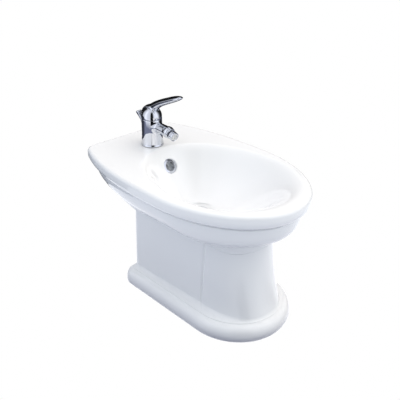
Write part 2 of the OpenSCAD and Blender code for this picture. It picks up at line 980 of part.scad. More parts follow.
// Lift rod: leans back above the deck and turns straight down below it
rod_r = lift_d / 2;
turn_r = 16;
turn_z = -22;
turn_c = [lift_foot + turn_z * tan(lift_lean) + turn_r * cos(lift_lean), turn_z - turn_r * sin(lift_lean)];
rod_y = tap_y + turn_c[0] - turn_r;
rod_low = rim_h - 165;
knob_s = 67;

module lift_rod() {
    core = 0.9 * rod_r;
    color("silver") union() {
        on_lift()
            translate([0, 0, turn_z / cos(lift_lean)]) {
                cylinder(r = rod_r, h = knob_s + 11 - turn_z / cos(lift_lean));
                sphere(r = core);
            }
        translate([0, rod_y, rim_h + turn_c[1]])
            sphere(r = core);
        translate([0, tap_y + turn_c[0], rim_h + turn_c[1]])
            rotate([90, 0, 90])
                rotate([0, 0, 180 - lift_lean])
                    rotate_extrude(angle = lift_lean)
                        translate([turn_r, 0])
                            circle(r = rod_r);
        translate([0, rod_y, rod_low])
            cylinder(r = rod_r, h = rim_h + turn_c[1] - rod_low);
    }
}

module lift_knob() {
    color("silver")
        on_lift()
            translate([0, 0, knob_s])
                difference() {
                    union() {
                        cylinder(r1 = 3.6, r2 = 5.2, h = 9);
                        translate([0, 0, 9])
                            cylinder(r1 = 5.2, r2 = 7.6, h = 10);
                        translate([0, 0, 19])
                            cylinder(r = 7.6, h = 2);
                        translate([0, 0, 21])
                            cylinder(r1 = 7.6, r2 = 5.6, h = 2);
                    }
                    translate([0, 0, -1])
                        cylinder(r = rod_r, h = 12);
                }
}

// Clamp, strap and clip between the lift rod and the pivot rod
clamp_w = 9;
clamp_front = 4.2;
clamp_back = 6;
clamp_h = 14;
clamp_z = rod_low + 2;
strap_y = rod_y + clamp_back;
strap_t = 2;
rest_drop = 5;
link_z = pivot_z - (strap_y + strap_t / 2 - pivot_y) * tan(rest_drop);
link_hole = 7.4;
screw_z = clamp_z + clamp_h / 2;

module rod_clamp() {
    color("lightgray")
        difference() {
            translate([-clamp_w / 2, rod_y - clamp_front, clamp_z])
                cube([clamp_w, clamp_front + clamp_back, clamp_h]);
            translate([0, rod_y, clamp_z - 1])
                cylinder(r = rod_r, h = clamp_h + 2);
            translate([0, rod_y, screw_z])
                rotate([-90, 0, 0])
                    cylinder(r = 2, h = 20);
        }
}

module clamp_screw() {
    color("goldenrod")
        translate([0, 0, screw_z])
            rotate([-90, 0, 0]) {
                translate([0, 0, rod_y + rod_r])
                    cylinder(r = 2, h = strap_y + strap_t - rod_y - rod_r + 1);
                translate([0, 0, strap_y + strap_t])
                    cylinder(r = 5.5, h = 5);
            }
}

module linkage_strap() {
    color("lightgray")
        difference() {
            translate([0, strap_y, 0])
                union() {
                    translate([-6, 0, link_z])
                        cube([12, strap_t, clamp_z + clamp_h - link_z]);
                    translate([0, 0, link_z])
                        rotate([-90, 0, 0])
                            cylinder(r = 6, h = strap_t);
                }
            for (z = [link_z, link_z + 14, link_z + 28, link_z + 42])
                translate([0, strap_y - 1, z])
                    rotate([-90, 0, 0])
                        cylinder(d = link_hole, h = strap_t + 2);
            translate([0, strap_y - 1, screw_z])
                rotate([-90, 0, 0])
                    cylinder(r = 2, h = strap_t + 2);
        }
}

module spring_clip() {
    w = 10;
    t = 0.8;
    legs = 8;
    low = link_z - 7.5;
    color("silver")
        difference() {
            union() {
                translate([-w / 2, strap_y - t, low])
                    cube([w, t, 14]);
                translate([-w / 2, strap_y + legs, low])
                    cube([w, t, 14]);
                translate([-w / 2, strap_y - t, low - t])
                    cube([w, legs + 2 * t, t]);
            }
            translate([0, strap_y - 2, link_z])
                rotate([-90, 0, 0])
                    cylinder(d = link_hole, h = 20);
        }
}

module at_rod_pivot() {
    translate([0, pivot_y, pivot_z])
        rotate([-90 - rest_drop, 0, 0])
            children();
}

module pivot_rod() {
    to_plug = pivot_y - waste_y + 8;
    to_strap = (strap_y - pivot_y) / cos(rest_drop) + 24;
    color("silver")
        at_rod_pivot()
            union() {
                translate([0, 0, -to_plug])
                    cylinder(d = pivot_d, h = to_plug + to_strap);
                sphere(r = ball_r);
            }
}

module waste_flange() {
    slot_z = duct_end[2] - 7;
    color("silver")
        translate([0, waste_y, 0])
            difference() {
                union() {
                    translate([0, 0, flange_z])
                        cylinder(d1 = flange_d, d2 = flange_d - 1, h = 2.5);
                    translate([0, 0, tube_z])
                        cylinder(d = tube_d, h = flange_z - tube_z + 1);
                }
                translate([0, 0, tube_z - 1])
                    cylinder(r = tube_bore, h = 100);
                translate([0, 0, flange_z + 0.5])
                    cylinder(r1 = tube_bore, r2 = 26, h = 2.5);
                translate([-5, -40, slot_z])
                    cube([10, 80, 14]);
            }
}

module flange_seal() {
    color("dimgray")
        translate([0, waste_y, 0])
            flat_ring(seat_z, flange_z - seat_z, flange_d / 2 - 1, waste_hole / 2);
}

seal_h = 6;
thrust_h = 2;
module waste_seal() {
    color("dimgray")
        translate([0, waste_y, 0])
            flat_ring(boss_low - seal_h, seal_h, 33, tube_d / 2 + fit);
}

module waste_washer() {
    color("ivory")
        translate([0, waste_y, 0])
            flat_ring(boss_low - seal_h - thrust_h, thrust_h, 31, tube_d / 2 + fit);
}

module waste_nut() {
    h = 10;
    color("goldenrod")
        translate([0, waste_y, boss_low - seal_h - thrust_h - h])
            difference() {
                cylinder(r = 27.5 / cos(30), h = h, $fn = 6);
                translate([0, 0, -1])
                    cylinder(d = tube_d, h = h + 2);
            }
}

// Tee with the outlet pipe below and the pivot rod's port at the back
module waste_tee() {
    color("whitesmoke")
        difference() {
            union() {
                translate([0, waste_y, tee_low])
                    cylinder(r = tee_r, h = tee_top - tee_low);
                translate([0, waste_y, outlet_end])
                    cylinder(d = outlet_d, h = tee_low - outlet_end + 1);
                translate([0, waste_y + 20, pivot_z])
                    rotate([-90, 0, 0])
                        cylinder(r = port_r, h = 20);
            }
            translate([0, waste_y, tee_seat_z])
                cylinder(d = tube_d, h = 40);
            translate([0, waste_y, tee_low + 4])
                cylinder(r = chamber_r, h = tee_seat_z - tee_low - 3);
            translate([0, waste_y, outlet_end - 1])
                cylinder(r = outlet_d / 2 - 2, h = tee_low - outlet_end + 10);
            translate([0, waste_y, pivot_z])
                rotate([-90, 0, 0])
                    cylinder(r = 5, h = 50);
            translate([0, pivot_y - 7, pivot_z])
                rotate([-90, 0, 0])
                    cylinder(r = 8, h = 30);
        }
}

module tee_seal() {
    color("dimgray")
        translate([0, waste_y, 0])
            flat_ring(tee_seat_z, tube_z - tee_seat_z, tube_d / 2, chamber_r);
}

module pivot_seat() {
    color("ivory")
        translate([0, pivot_y, pivot_z])
            difference() {
                rotate([-90, 0, 0])
                    translate([0, 0, -7])
                        cylinder(r = 7.9, h = 13.4);
                sphere(r = ball_r + move);
                rotate([-90, 0, 0])
                    translate([0, 0, -20])
                        cylinder(r = 4.2, h = 40);
            }
}

module pivot_nut() {
    color("whitesmoke")
        translate([0, pivot_y, pivot_z])
            rotate([-90, 0, 0])
                difference() {
                    translate([0, 0, -8])
                        cylinder(r = 13, h = 18);
                    translate([0, 0, -9])
                        cylinder(r = port_r, h = 15.4);
                    cylinder(r = 4.2, h = 20);
                }
}

// Plug, drawn open
plug_z = bottom_z + 7.5;
eye_z = pivot_z + (pivot_y - waste_y) * tan(rest_drop);
module plug() {
    dome = 80;
    color("silver")
        translate([0, waste_y, 0])
            difference() {
                union() {
                    intersection() {
                        translate([0, 0, plug_z + 2])
                            cylinder(d = plug_d, h = 10);
                        translate([0, 0, plug_z + 7 - dome])
                            sphere(r = dome);
                    }
                    translate([0, 0, plug_z])
                        cylinder(r = 17.8, h = 3);
                    translate([0, 0, eye_z + 8])
                        cylinder(r = 3, h = plug_z - eye_z - 7);
                    for (t = [0, 90])
                        rotate([0, 0, t])
                            translate([-16.5, -1, plug_z - 34])
                                cube([33, 2, 35]);
                    translate([-7, -1.5, eye_z - 12])
                        cube([14, 3, 24]);
                }
                translate([0, 0, eye_z])
                    rotate([-90, 0, 0])
                        translate([0, 0, -5])
                            cylinder(r = 3.5, h = 10);
            }
}

module plug_seal() {
    color("dimgray")
        translate([0, waste_y, 0])
            flat_ring(plug_z, 2, plug_d / 2 - 1.5, 17.8);
}

ceramic_body();
overflow_ring();
fixing_sleeves();
tap_body();
base_seal();
tap_studs();
tap_gasket();
tap_clamp_plate();
tap_nuts();
supply_tail_cold();
supply_tail_hot();
cartridge_seals();
cartridge_body();
cartridge_nut();
dome_bearing();
dome_cover();
cartridge_rotor();
cartridge_stem();
lever_handle();
lever_grub_screw();
lever_index_plug();
nozzle_seat();
nozzle_collar();
nozzle_ball();
nozzle_housing();
aerator_washer();
aerator_insert();
lift_rod();
lift_knob();
rod_clamp();
clamp_screw();
linkage_strap();
spring_clip();
pivot_rod();
waste_flange();
flange_seal();
waste_seal();
waste_washer();
waste_nut();
waste_tee();
tee_seal();
pivot_seat();
pivot_nut();
plug();
plug_seal();
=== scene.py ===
import json
import math

import bmesh
import bpy
import numpy as np
from mathutils import Matrix, Vector


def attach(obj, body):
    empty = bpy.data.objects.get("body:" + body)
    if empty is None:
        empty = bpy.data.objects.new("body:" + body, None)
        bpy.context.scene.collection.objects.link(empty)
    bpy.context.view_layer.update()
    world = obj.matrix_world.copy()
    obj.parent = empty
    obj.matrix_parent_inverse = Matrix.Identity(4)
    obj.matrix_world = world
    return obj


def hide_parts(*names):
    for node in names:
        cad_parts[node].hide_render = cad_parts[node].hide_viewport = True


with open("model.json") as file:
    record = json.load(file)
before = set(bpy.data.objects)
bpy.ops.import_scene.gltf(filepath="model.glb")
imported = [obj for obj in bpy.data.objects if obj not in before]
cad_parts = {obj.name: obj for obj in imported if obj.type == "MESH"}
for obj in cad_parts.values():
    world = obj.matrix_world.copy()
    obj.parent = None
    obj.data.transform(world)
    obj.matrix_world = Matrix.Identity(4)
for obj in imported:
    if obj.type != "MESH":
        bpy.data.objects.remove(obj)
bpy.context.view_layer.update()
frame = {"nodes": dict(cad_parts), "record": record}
print("frame loaded")


# small tools; every piece is drawn in millimetres until it settles

def linked(ob):
    bpy.context.scene.collection.objects.link(ob)
    return ob


def meshFrom(name, points, faces, groups=None):
    mesh = bpy.data.meshes.new(name)
    mesh.from_pydata([tuple(map(float, p)) for p in points], [], faces)
    if groups is not None:
        mesh.polygons.foreach_set("material_index", groups)
    mesh.update()
    return linked(bpy.data.objects.new(name, mesh))


def baked(ob):
    # the modifiers' result becomes the mesh
    seen = ob.evaluated_get(bpy.context.evaluated_depsgraph_get())
    mesh = bpy.data.meshes.new_from_object(seen)
    ob.modifiers.clear()
    old, ob.data = ob.data, mesh
    bpy.data.meshes.remove(old)
    return ob


def joined(ob, other, how):
    # how is UNION or DIFFERENCE; the other solid is used up
    cut = ob.modifiers.new("cut", "BOOLEAN")
    cut.operation, cut.solver, cut.object = how, "MANIFOLD", other
    baked(ob)
    mesh = other.data
    bpy.data.objects.remove(other)
    bpy.data.meshes.remove(mesh)
    return ob


def united(ob, *others):
    for other in others:
        joined(ob, other, "UNION")
    return ob


def carved(ob, *others):
    for other in others:
        joined(ob, other, "DIFFERENCE")
    return ob


def settle(ob, body, mat, stands=(), angle=32):
    # millimetres to metres, soft shading, then on to its body
    mats = mat if isinstance(mat, (list, tuple)) else [mat]
    mesh = ob.data
    mesh.transform(Matrix.Scale(0.001, 4))
    mesh.materials.clear()
    for m in mats:
        mesh.materials.append(m)
    mesh.shade_smooth()
    mesh.set_sharp_from_angle(angle=math.radians(angle))
    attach(ob, body)
    if stands:
        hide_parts(*stands)
    return ob


def softened(p, times):
    # cuts the corners of an open line, which keeps its ends
    p = np.asarray(p, float)
    for _ in range(times):
        a, b = p[:-1], p[1:]
        mid = np.stack([0.75 * a + 0.25 * b, 0.25 * a + 0.75 * b], 1).reshape(-1, *p.shape[1:])
        p = np.concatenate([p[:1], mid[1:-1], p[-1:]])
    return p


def rounded(profile, steps=4):
    # closed profile of (r, z) or (r, z, rounding)
    pts = [np.array(q[:2], float) for q in profile]
    out = []
    for i, q in enumerate(profile):
        here, before, after = pts[i], pts[i - 1], pts[(i + 1) % len(pts)]
        r = q[2] if len(q) > 2 else 0
        if not r:
            out.append(here)
            continue
        u, v = before - here, after - here
        lu, lv = np.linalg.norm(u), np.linalg.norm(v)
        a, b = here + u / lu * min(r, lu * 0.48), here + v / lv * min(r, lv * 0.48)
        for t in np.linspace(0, 1, steps + 1):
            out.append((1 - t) ** 2 * a + 2 * t * (1 - t) * here + t * t * b)
    return out


def facedOut(ob, merge=0):
    # near points are merged where that is asked for, and all faces look outwards
    bm = bmesh.new()
    bm.from_mesh(ob.data)
    if merge:
        bmesh.ops.remove_doubles(bm, verts=bm.verts, dist=merge)
        bmesh.ops.dissolve_degenerate(bm, edges=bm.edges, dist=merge)
    bmesh.ops.recalc_face_normals(bm, faces=bm.faces)
    bm.to_mesh(ob.data)
    bm.free()
    return ob


def arc(cr, cz, r, start, end, n=12):
    t = np.radians(np.linspace(start, end, n))
    return [(max(cr + r * math.cos(a), 0.0), cz + r * math.sin(a)) for a in t]


def lathe(name, profile, place=None, steps=96):
    # a closed profile turned about z; points on the axis are merged
    line = np.array(rounded(profile))
    area = np.sum(line[:, 0] * np.roll(line[:, 1], -1) - np.roll(line[:, 0], -1) * line[:, 1])
    if area < 0:
        line = line[::-1]
    n = len(line)
    t = np.arange(steps) * 2 * math.pi / steps
    pts = np.stack([line[:, 0, None] * np.cos(t), line[:, 0, None] * np.sin(t),
                    np.repeat(line[:, 1, None], steps, 1)], 2).reshape(-1, 3)
    faces = [(i * steps + j, i * steps + (j + 1) % steps,
              (i + 1) % n * steps + (j + 1) % steps, (i + 1) % n * steps + j)
             for i in range(n) for j in range(steps)]
    ob = facedOut(meshFrom(name, pts, faces), 1e-4)
    if place is not None:
        ob.data.transform(place)
    return ob


def rod(name, p, q, r, steps=48):
    p, q = Vector(p), Vector(q)
    place = Matrix.Translation(p) @ (q - p).to_track_quat("Z", "Y").to_matrix().to_4x4()
    return lathe(name, [(0, 0), (r, 0), (r, (q - p).length), (0, (q - p).length)], place, steps)


def ball(name, centre, r, steps=64):
    return lathe(name, arc(0, 0, r, -90, 90, 33), Matrix.Translation(centre), steps)


def block(name, low, high):
    x0, y0, z0, x1, y1, z1 = *low, *high
    pts = [(x, y, z) for z in (z0, z1) for y in (y0, y1) for x in (x0, x1)]
    faces = [(0, 2, 3, 1), (4, 5, 7, 6), (0, 1, 5, 4), (1, 3, 7, 5), (3, 2, 6, 7), (2, 0, 4, 6)]
    return meshFrom(name, pts, faces)


def square(name, size):
    h = size / 2
    return meshFrom(name, [(-h, -h, 0), (h, -h, 0), (h, h, 0), (-h, h, 0)], [(0, 1, 2, 3)])


def prism(name, outline, low, high, place=None):
    # a flat outline drawn up from z = low to z = high
    n = len(outline)
    pts = [(*q, z) for z in (low, high) for q in outline]
    faces = [tuple(range(n))[::-1], tuple(range(n, 2 * n))]
    faces += [(i, (i + 1) % n, n + (i + 1) % n, n + i) for i in range(n)]
    ob = facedOut(meshFrom(name, pts, faces))
    if place is not None:
        ob.data.transform(place)
    return ob


def smin(a, b, k):
    # the smaller of two, rounded over a width of k
    h = np.clip(0.5 + 0.5 * (b - a) / k, 0, 1)
    return b * (1 - h) + a * h - k * h * (1 - h)


def smax(a, b, k):
    return -smin(-a, -b, k)


def cast(name, solids, field, grain, place, passes=5):
    # one even skin over the solids, slid on to the smooth surface where field is 0
    ob = solids[0]
    bm = bmesh.new()
    for s in solids:
        bm.from_mesh(s.data)
    bm.to_mesh(ob.data)
    bm.free()
    for s in solids[1:]:
        bpy.data.objects.remove(s)
    ob.name = name
    even = ob.modifiers.new("even", "REMESH")
    even.mode, even.voxel_size = "VOXEL", grain
    baked(ob)
    p = np.empty(len(ob.data.vertices) * 3)
    ob.data.vertices.foreach_get("co", p)
    p = p.reshape(-1, 3)
    tiny, flattest, longest = 0.02, 0.2, 1.2  # probe, least squared slope, longest step
    for _ in range(passes):
        f = field(p)
        g = np.stack([(field(p + tiny * e) - field(p - tiny * e)) / (2 * tiny) for e in np.eye(3)], 1)
        step = f / np.maximum((g ** 2).sum(1), flattest)
        p -= np.clip(step, -longest, longest)[:, None] * g
    ob.data.vertices.foreach_set("co", p.ravel())
    ob.data.transform(place)
    ob.data.update()
    return ob


# node helpers

def add(tree, kind, **values):
    # values go to the sockets of that name, or else to the settings
    node = tree.nodes.new(kind)
    for key, value in values.items():
        if key in node.inputs:
            node.inputs[key].default_value = value
        else:
            setattr(node, key, value)
    return node


def vectorMath(tree, operation, *values):
    # each value is a socket or a constant
    node = add(tree, "ShaderNodeVectorMath", operation=operation)
    for socket, value in zip(node.inputs, values):
        if isinstance(value, bpy.types.NodeSocket):
            tree.links.new(value, socket)
        else:
            socket.default_value = value
    return node.outputs


def between(tree, value, low, high, start=0.35, end=0.65, way="LINEAR"):
    node = add(tree, "ShaderNodeMapRange", interpolation_type=way)
    node.inputs["From Min"].default_value, node.inputs["From Max"].default_value = start, end
    node.inputs["To Min"].default_value, node.inputs["To Max"].default_value = low, high
    tree.links.new(value, node.inputs["Value"])
    return node.outputs["Result"]


# the camera stands where the photograph was taken from
view = {
    "turn": -43.1, "tilt": 27.7, "distance": 1.5539,  # degrees and metres round the aim point
    "aim": (0.0109, 0.020, 0.2639), "focal": 606.9, "width": 400,  # focal length and width in pixels
    "sensor": 36, "clipEnd": 60,
}


def makeCamera(v):
    turn, tilt = math.radians(v["turn"]), math.radians(v["tilt"])
    back = Vector((math.sin(turn) * math.cos(tilt), -math.cos(turn) * math.cos(tilt), math.sin(tilt)))
    data = bpy.data.cameras.new("camera")
    data.sensor_width = v["sensor"]
    data.lens = v["focal"] * data.sensor_width / v["width"]
    data.clip_end = v["clipEnd"]
    cam = linked(bpy.data.objects.new("camera", data))
    cam.location = Vector(v["aim"]) + back * v["distance"]
    cam.rotation_euler = (-back).to_track_quat("-Z", "Y").to_euler()
    bpy.context.scene.camera = cam


makeCamera(view)

studio = {
    # what the camera sees round the piece, in metres
    "floorSize": 60, "floorTone": (1.0, 1.0, 1.0), "wallRadius": 28, "wallTone": (0.80, 0.83, 0.87),
    # the sky that lights the piece: lobes of direction, start, end, colour
    "lobes": [
        ((0, 0, 1), 0, 1, (0.77, 0.78, 0.80)),
        ((0, 0, 1), 0.6, 1, (0.78, 0.69, 0.61)),
        ((0.9, -0.35, 0.25), 0.2, 1, (1.03, 0.99, 0.94)),
        ((-0.7, 0.6, 0.3), 0.2, 1, (0.41, 0.49, 0.59)),
        ((0.5, 0.6, 0.62), 0.45, 1, (0.10, 0.07, 0.06)),
        ((0.1, -0.95, 0.3), 0.4, 1, (0.30, 0.37, 0.41)),
    ],
    # light thrown back by the floor: its tone near the piece and far from it, those two distances,
    # the middle, and how much longer it is from front to back
    "bounce": {"size": 14, "near": (0, 0, 0.08), "far": (0.85, 0.89, 1.0), "from": 0.15, "to": 0.6,
               "middle": (0, -0.048, -0.001), "stretch": 1.5},
    # what only the glossy surfaces see, counted in degrees from where the room is turned to
    "turn": -133,
    "room": {
        "radius": 5.5,
        "round": [(-180, 0.01), (-132, 0.01), (-119, 0.02), (-112, 0.1), (-105, 0.55), (-96, 0.8),
                  (-80, 1.05), (-68, 1.5), (-55, 1.3), (-42, 1.05), (-20, 0.95), (-11.5, 0.9),
                  (-8.5, 0.015), (19, 0.015), (22, 0.6), (36, 1.2), (70, 1.35), (84, 0.8), (96, 0.3),
                  (108, 0.04), (132, 0.015), (180, 0.015)],
        "tint": (0.93, 0.96, 1.05),
        # start and end of each fade as a share of the radius, and the tone beyond it
        "floor": (-0.25, -0.35, (1.2, 1.22, 1.28)), "ceiling": (0.72, 0.98, (0.95, 0.97, 1.05)),
    },
    # flags over the deck, glowing cards seen only in reflections that paint dark and blue-grey reflections into the
    # chrome and glaze: degrees, inner radius, where it thins, outer radius, tone; in millimetres
    "flags": [
        (371.2, [(-180, 53, 258, 315, 0.05), (-120, 48, 258, 315, 0.05), (-99, 80, 244, 301, 0.06),
                 (-86, 92, 230, 287, 0.08), (-77, 102, 216, 273, 0.27), (-65, 116, 187, 244, 0.28),
                 (-55, 122, 166, 216, 0.28), (-20, 134, 156, 204, 0.28), (22, 132, 156, 204, 0.28),
                 (60, 121, 166, 223, 0.28), (101, 95, 216, 287, 0.18), (130, 60, 258, 315, 0.06),
                 (180, 53, 258, 315, 0.05)]),
        (371.6, [(-9, 160, 420, 520, 0.01), (19, 160, 420, 520, 0.01)]),
        (6, [(-175, 450, 2800, 3200, 0.01), (-86, 450, 2800, 3200, 0.01)]),
    ],
    # the blue tint of the painted reflections, and the middle they are drawn round
    "flagTint": (0.88, 0.95, 1.32), "flagMiddle": (0, 0.192),
    "topBox": {"place": (0.5, 0.5, 2.7), "aim": (0, 0, 0.3), "size": 2.6, "power": 1,
               "colour": (1, 0.99, 0.97)},
}


def glowMaterial(name, tone):
    mat = bpy.data.materials.new(name)
    mat.use_nodes = True
    tree = mat.node_tree
    tree.nodes.clear()
    glow = add(tree, "ShaderNodeEmission", Color=(*tone, 1))
    tree.links.new(glow.outputs["Emission"], add(tree, "ShaderNodeOutputMaterial").inputs["Surface"])
    return mat, tree, glow


def lobeSum(tree, lobes):
    # soft lobes round given directions
    coord = add(tree, "ShaderNodeTexCoord").outputs["Generated"]
    total = (0, 0, 0)
    for direction, start, end, colour in lobes:
        dot = vectorMath(tree, "DOT_PRODUCT", coord, Vector(direction).normalized())["Value"]
        share = between(tree, dot, 0, 1, start, end, "SMOOTHSTEP")
        lit = vectorMath(tree, "MULTIPLY", colour, share)["Vector"]
        total = vectorMath(tree, "ADD", lit, total)["Vector"]
    return total


def roomPaint(r):
    # tones round the horizon, over a pale floor and under a grey ceiling
    mat, tree, glow = glowMaterial("roomPaint", (0, 0, 0))
    split = add(tree, "ShaderNodeSeparateXYZ")
    tree.links.new(add(tree, "ShaderNodeTexCoord").outputs["Object"], split.inputs["Vector"])
    angle = add(tree, "ShaderNodeMath", operation="ARCTAN2")
    tree.links.new(split.outputs["Y"], angle.inputs[0])
    tree.links.new(split.outputs["X"], angle.inputs[1])
    ramp = add(tree, "ShaderNodeValToRGB")
    tree.links.new(between(tree, angle.outputs["Value"], 0, 1, -math.pi, math.pi), ramp.inputs["Fac"])
    stops = ramp.color_ramp.elements
    while len(stops) < len(r["round"]):
        stops.new(0.5)
    top = max(tone for _, tone in r["round"])
    for stop, (degrees, tone) in zip(stops, r["round"]):
        stop.position, stop.color = (degrees + 180) / 360, (*[tone / top] * 3, 1)
    last = vectorMath(tree, "MULTIPLY", ramp.outputs["Color"], [top * t for t in r["tint"]])["Vector"]
    for start, end, tone in (r["floor"], r["ceiling"]):
        fade = between(tree, split.outputs["Z"], 0, 1, start * r["radius"], end * r["radius"])
        mixed = add(tree, "ShaderNodeMix", data_type="VECTOR")
        tree.links.new(fade, mixed.inputs["Factor"])
        vectors = [socket for socket in mixed.inputs if socket.type == "VECTOR"]
        tree.links.new(last, vectors[-2])
        vectors[-1].default_value = tone
        last = [socket for socket in mixed.outputs if socket.type == "VECTOR"][0]
    tree.links.new(last, glow.inputs["Color"])
    return mat


def makeFlag(s, height, rows):
    # a glowing card seen only in reflections, painting a dark reflection into the chrome and glaze; it thins towards
    # its outer edge and is clear from below
    rows = np.array(rows, float)
    n = 145 if len(rows) > 2 else 9
    angles = np.linspace(rows[0, 0], rows[-1, 0], n)
    inner, thin, outer, tone = (np.interp(angles, rows[:, 0], rows[:, i]) for i in (1, 2, 3, 4))
    t = np.radians(angles + s["turn"])
    points, colours = [], []
    mx, my = s["flagMiddle"]
    for radius, cover in ((inner, 1), (thin, 1), (outer, 0)):
        points += [(0.001 * r * math.cos(a) + mx, 0.001 * r * math.sin(a) + my, 0.001 * height)
                   for r, a in zip(radius, t)]
        colours += [(*(v * q for q in s["flagTint"]), cover) for v in tone]
    faces = [(j * n + i, (j + 1) * n + i, (j + 1) * n + i + 1, j * n + i + 1)
             for j in range(2) for i in range(n - 1)]
    flag = meshFrom("flag", points, faces)
    # the painted reflection's tone and cover, one per point
    paint = flag.data.color_attributes.new("tone", "FLOAT_COLOR", "POINT")
    paint.data.foreach_set("color", np.array(colours).ravel())
    mat, tree, glow = glowMaterial("flagPaintedReflection", (0, 0, 0))
    look = add(tree, "ShaderNodeAttribute", attribute_name="tone")
    tree.links.new(look.outputs["Color"], glow.inputs["Color"])
    clear, mixed = add(tree, "ShaderNodeBsdfTransparent"), add(tree, "ShaderNodeMixShader")
    side = add(tree, "ShaderNodeNewGeometry")
    cover = add(tree, "ShaderNodeMath", operation="SUBTRACT", use_clamp=True)
    tree.links.new(look.outputs["Alpha"], cover.inputs[0])
    tree.links.new(side.outputs["Backfacing"], cover.inputs[1])
    tree.links.new(cover.outputs["Value"], mixed.inputs["Fac"])
    tree.links.new(clear.outputs["BSDF"], mixed.inputs[1])
    tree.links.new(glow.outputs["Emission"], mixed.inputs[2])
    tree.links.new(mixed.outputs["Shader"], tree.nodes["Material Output"].inputs["Surface"])
    flag.data.materials.append(mat)
    unseen(flag, "camera", "diffuse", "shadow", "transmission")


def unseen(ob, *rays):
    for ray in rays:
        setattr(ob, "visible_" + ray, False)
    return ob


def makeBounce(b):
    # a card that only lights, darkest under the piece
    card = square("bounce", b["size"])
    card.location = b["middle"]
    mat, tree, glow = glowMaterial("bouncePaint", b["far"])
    coord = add(tree, "ShaderNodeTexCoord").outputs["Object"]
    flat = vectorMath(tree, "MULTIPLY", coord, (1, 1 / b["stretch"], 0))["Vector"]
    size = vectorMath(tree, "LENGTH", flat)["Value"]
    ramp = add(tree, "ShaderNodeMapRange", data_type="FLOAT_VECTOR", interpolation_type="SMOOTHSTEP")
    values = {"From_Min_FLOAT3": (b["from"],) * 3, "From_Max_FLOAT3": (b["to"],) * 3,
              "To_Min_FLOAT3": b["near"], "To_Max_FLOAT3": b["far"]}
    for socket in ramp.inputs:
        if socket.identifier in values:
            socket.default_value = values[socket.identifier]
    tree.links.new(size, ramp.inputs["Vector"])
    tree.links.new(ramp.outputs["Vector"], glow.inputs["Color"])
    card.data.materials.append(mat)
    unseen(card, "camera", "glossy", "shadow", "transmission")


def makeStudio(s):
    floor = square("floor", s["floorSize"])
    floor.data.materials.append(glowMaterial("floorPaint", s["floorTone"])[0])
    unseen(floor, "diffuse", "glossy", "shadow")
    wall = lathe("wall", arc(0, 0, s["wallRadius"], -90, 90, 25), steps=48)
    wall.data.materials.append(glowMaterial("wallPaint", s["wallTone"])[0])
    unseen(wall, "diffuse", "glossy", "shadow", "transmission")
    makeBounce(s["bounce"])
    room = lathe("room", arc(0, 0, s["room"]["radius"], -90, 90, 25), steps=48)
    room.rotation_euler.z = math.radians(s["turn"])
    room.data.materials.append(roomPaint(s["room"]))
    room.data.shade_smooth()
    unseen(room, "camera", "diffuse", "shadow", "transmission")
    for height, rows in s["flags"]:
        makeFlag(s, height, rows)
    world = bpy.data.worlds.new("world")
    world.use_nodes = True
    tree = world.node_tree
    tree.links.new(lobeSum(tree, s["lobes"]), tree.nodes["Background"].inputs["Color"])
    bpy.context.scene.world = world
    box = s["topBox"]
    light = bpy.data.lights.new("topBox", "AREA")
    light.shape, light.size, light.size_y = "RECTANGLE", box["size"], box["size"]
    light.energy, light.color = box["power"], box["colour"]
    ob = linked(bpy.data.objects.new("topBox", light))
    ob.location = box["place"]
    ob.rotation_euler = (Vector(box["aim"]) - Vector(box["place"])).to_track_quat("-Z", "Y").to_euler()
    bpy.context.scene.view_settings.view_transform = "Standard"


makeStudio(studio)
print("studio ready")


# finishes: each has a dark and a light tone, a roughness range and its fine relief

def shader(name):
    mat = bpy.data.materials.new(name)
    mat.use_nodes = True
    tree = mat.node_tree
    return mat, tree, tree.nodes["Principled BSDF"]


def noise(tree, coord, scale, detail=3.0, rough=0.5, stretch=None):
    if stretch:
        mapping = add(tree, "ShaderNodeMapping")
        mapping.inputs["Scale"].default_value = stretch
        tree.links.new(coord.outputs["Object"], mapping.inputs["Vector"])
        vector = mapping.outputs["Vector"]
    else:
        vector = coord.outputs["Object"]
    node = add(tree, "ShaderNodeTexNoise", Scale=scale, Detail=detail, Roughness=rough)
    tree.links.new(vector, node.inputs["Vector"])
    return node.outputs["Fac"]


def shade(tree, value, dark, light):
    node = add(tree, "ShaderNodeMix", data_type="RGBA")
    tree.links.new(value, node.inputs["Factor"])
    for socket in node.inputs:
        if socket.name == "A" and socket.type == "RGBA":
            socket.default_value = (*dark, 1)
        if socket.name == "B" and socket.type == "RGBA":
            socket.default_value = (*light, 1)
    return [o for o in node.outputs if o.type == "RGBA"][0]


def bump(tree, s, heights):
    # heights: (value, strength, depth in metres), one on top of the other
    last = None
    for value, strength, depth in heights:
        node = add(tree, "ShaderNodeBump", Strength=strength, Distance=depth)
        tree.links.new(value, node.inputs["Height"])
        if last:
            tree.links.new(last.outputs["Normal"], node.inputs["Normal"])
        last = node
    tree.links.new(last.outputs["Normal"], s.inputs["Normal"])


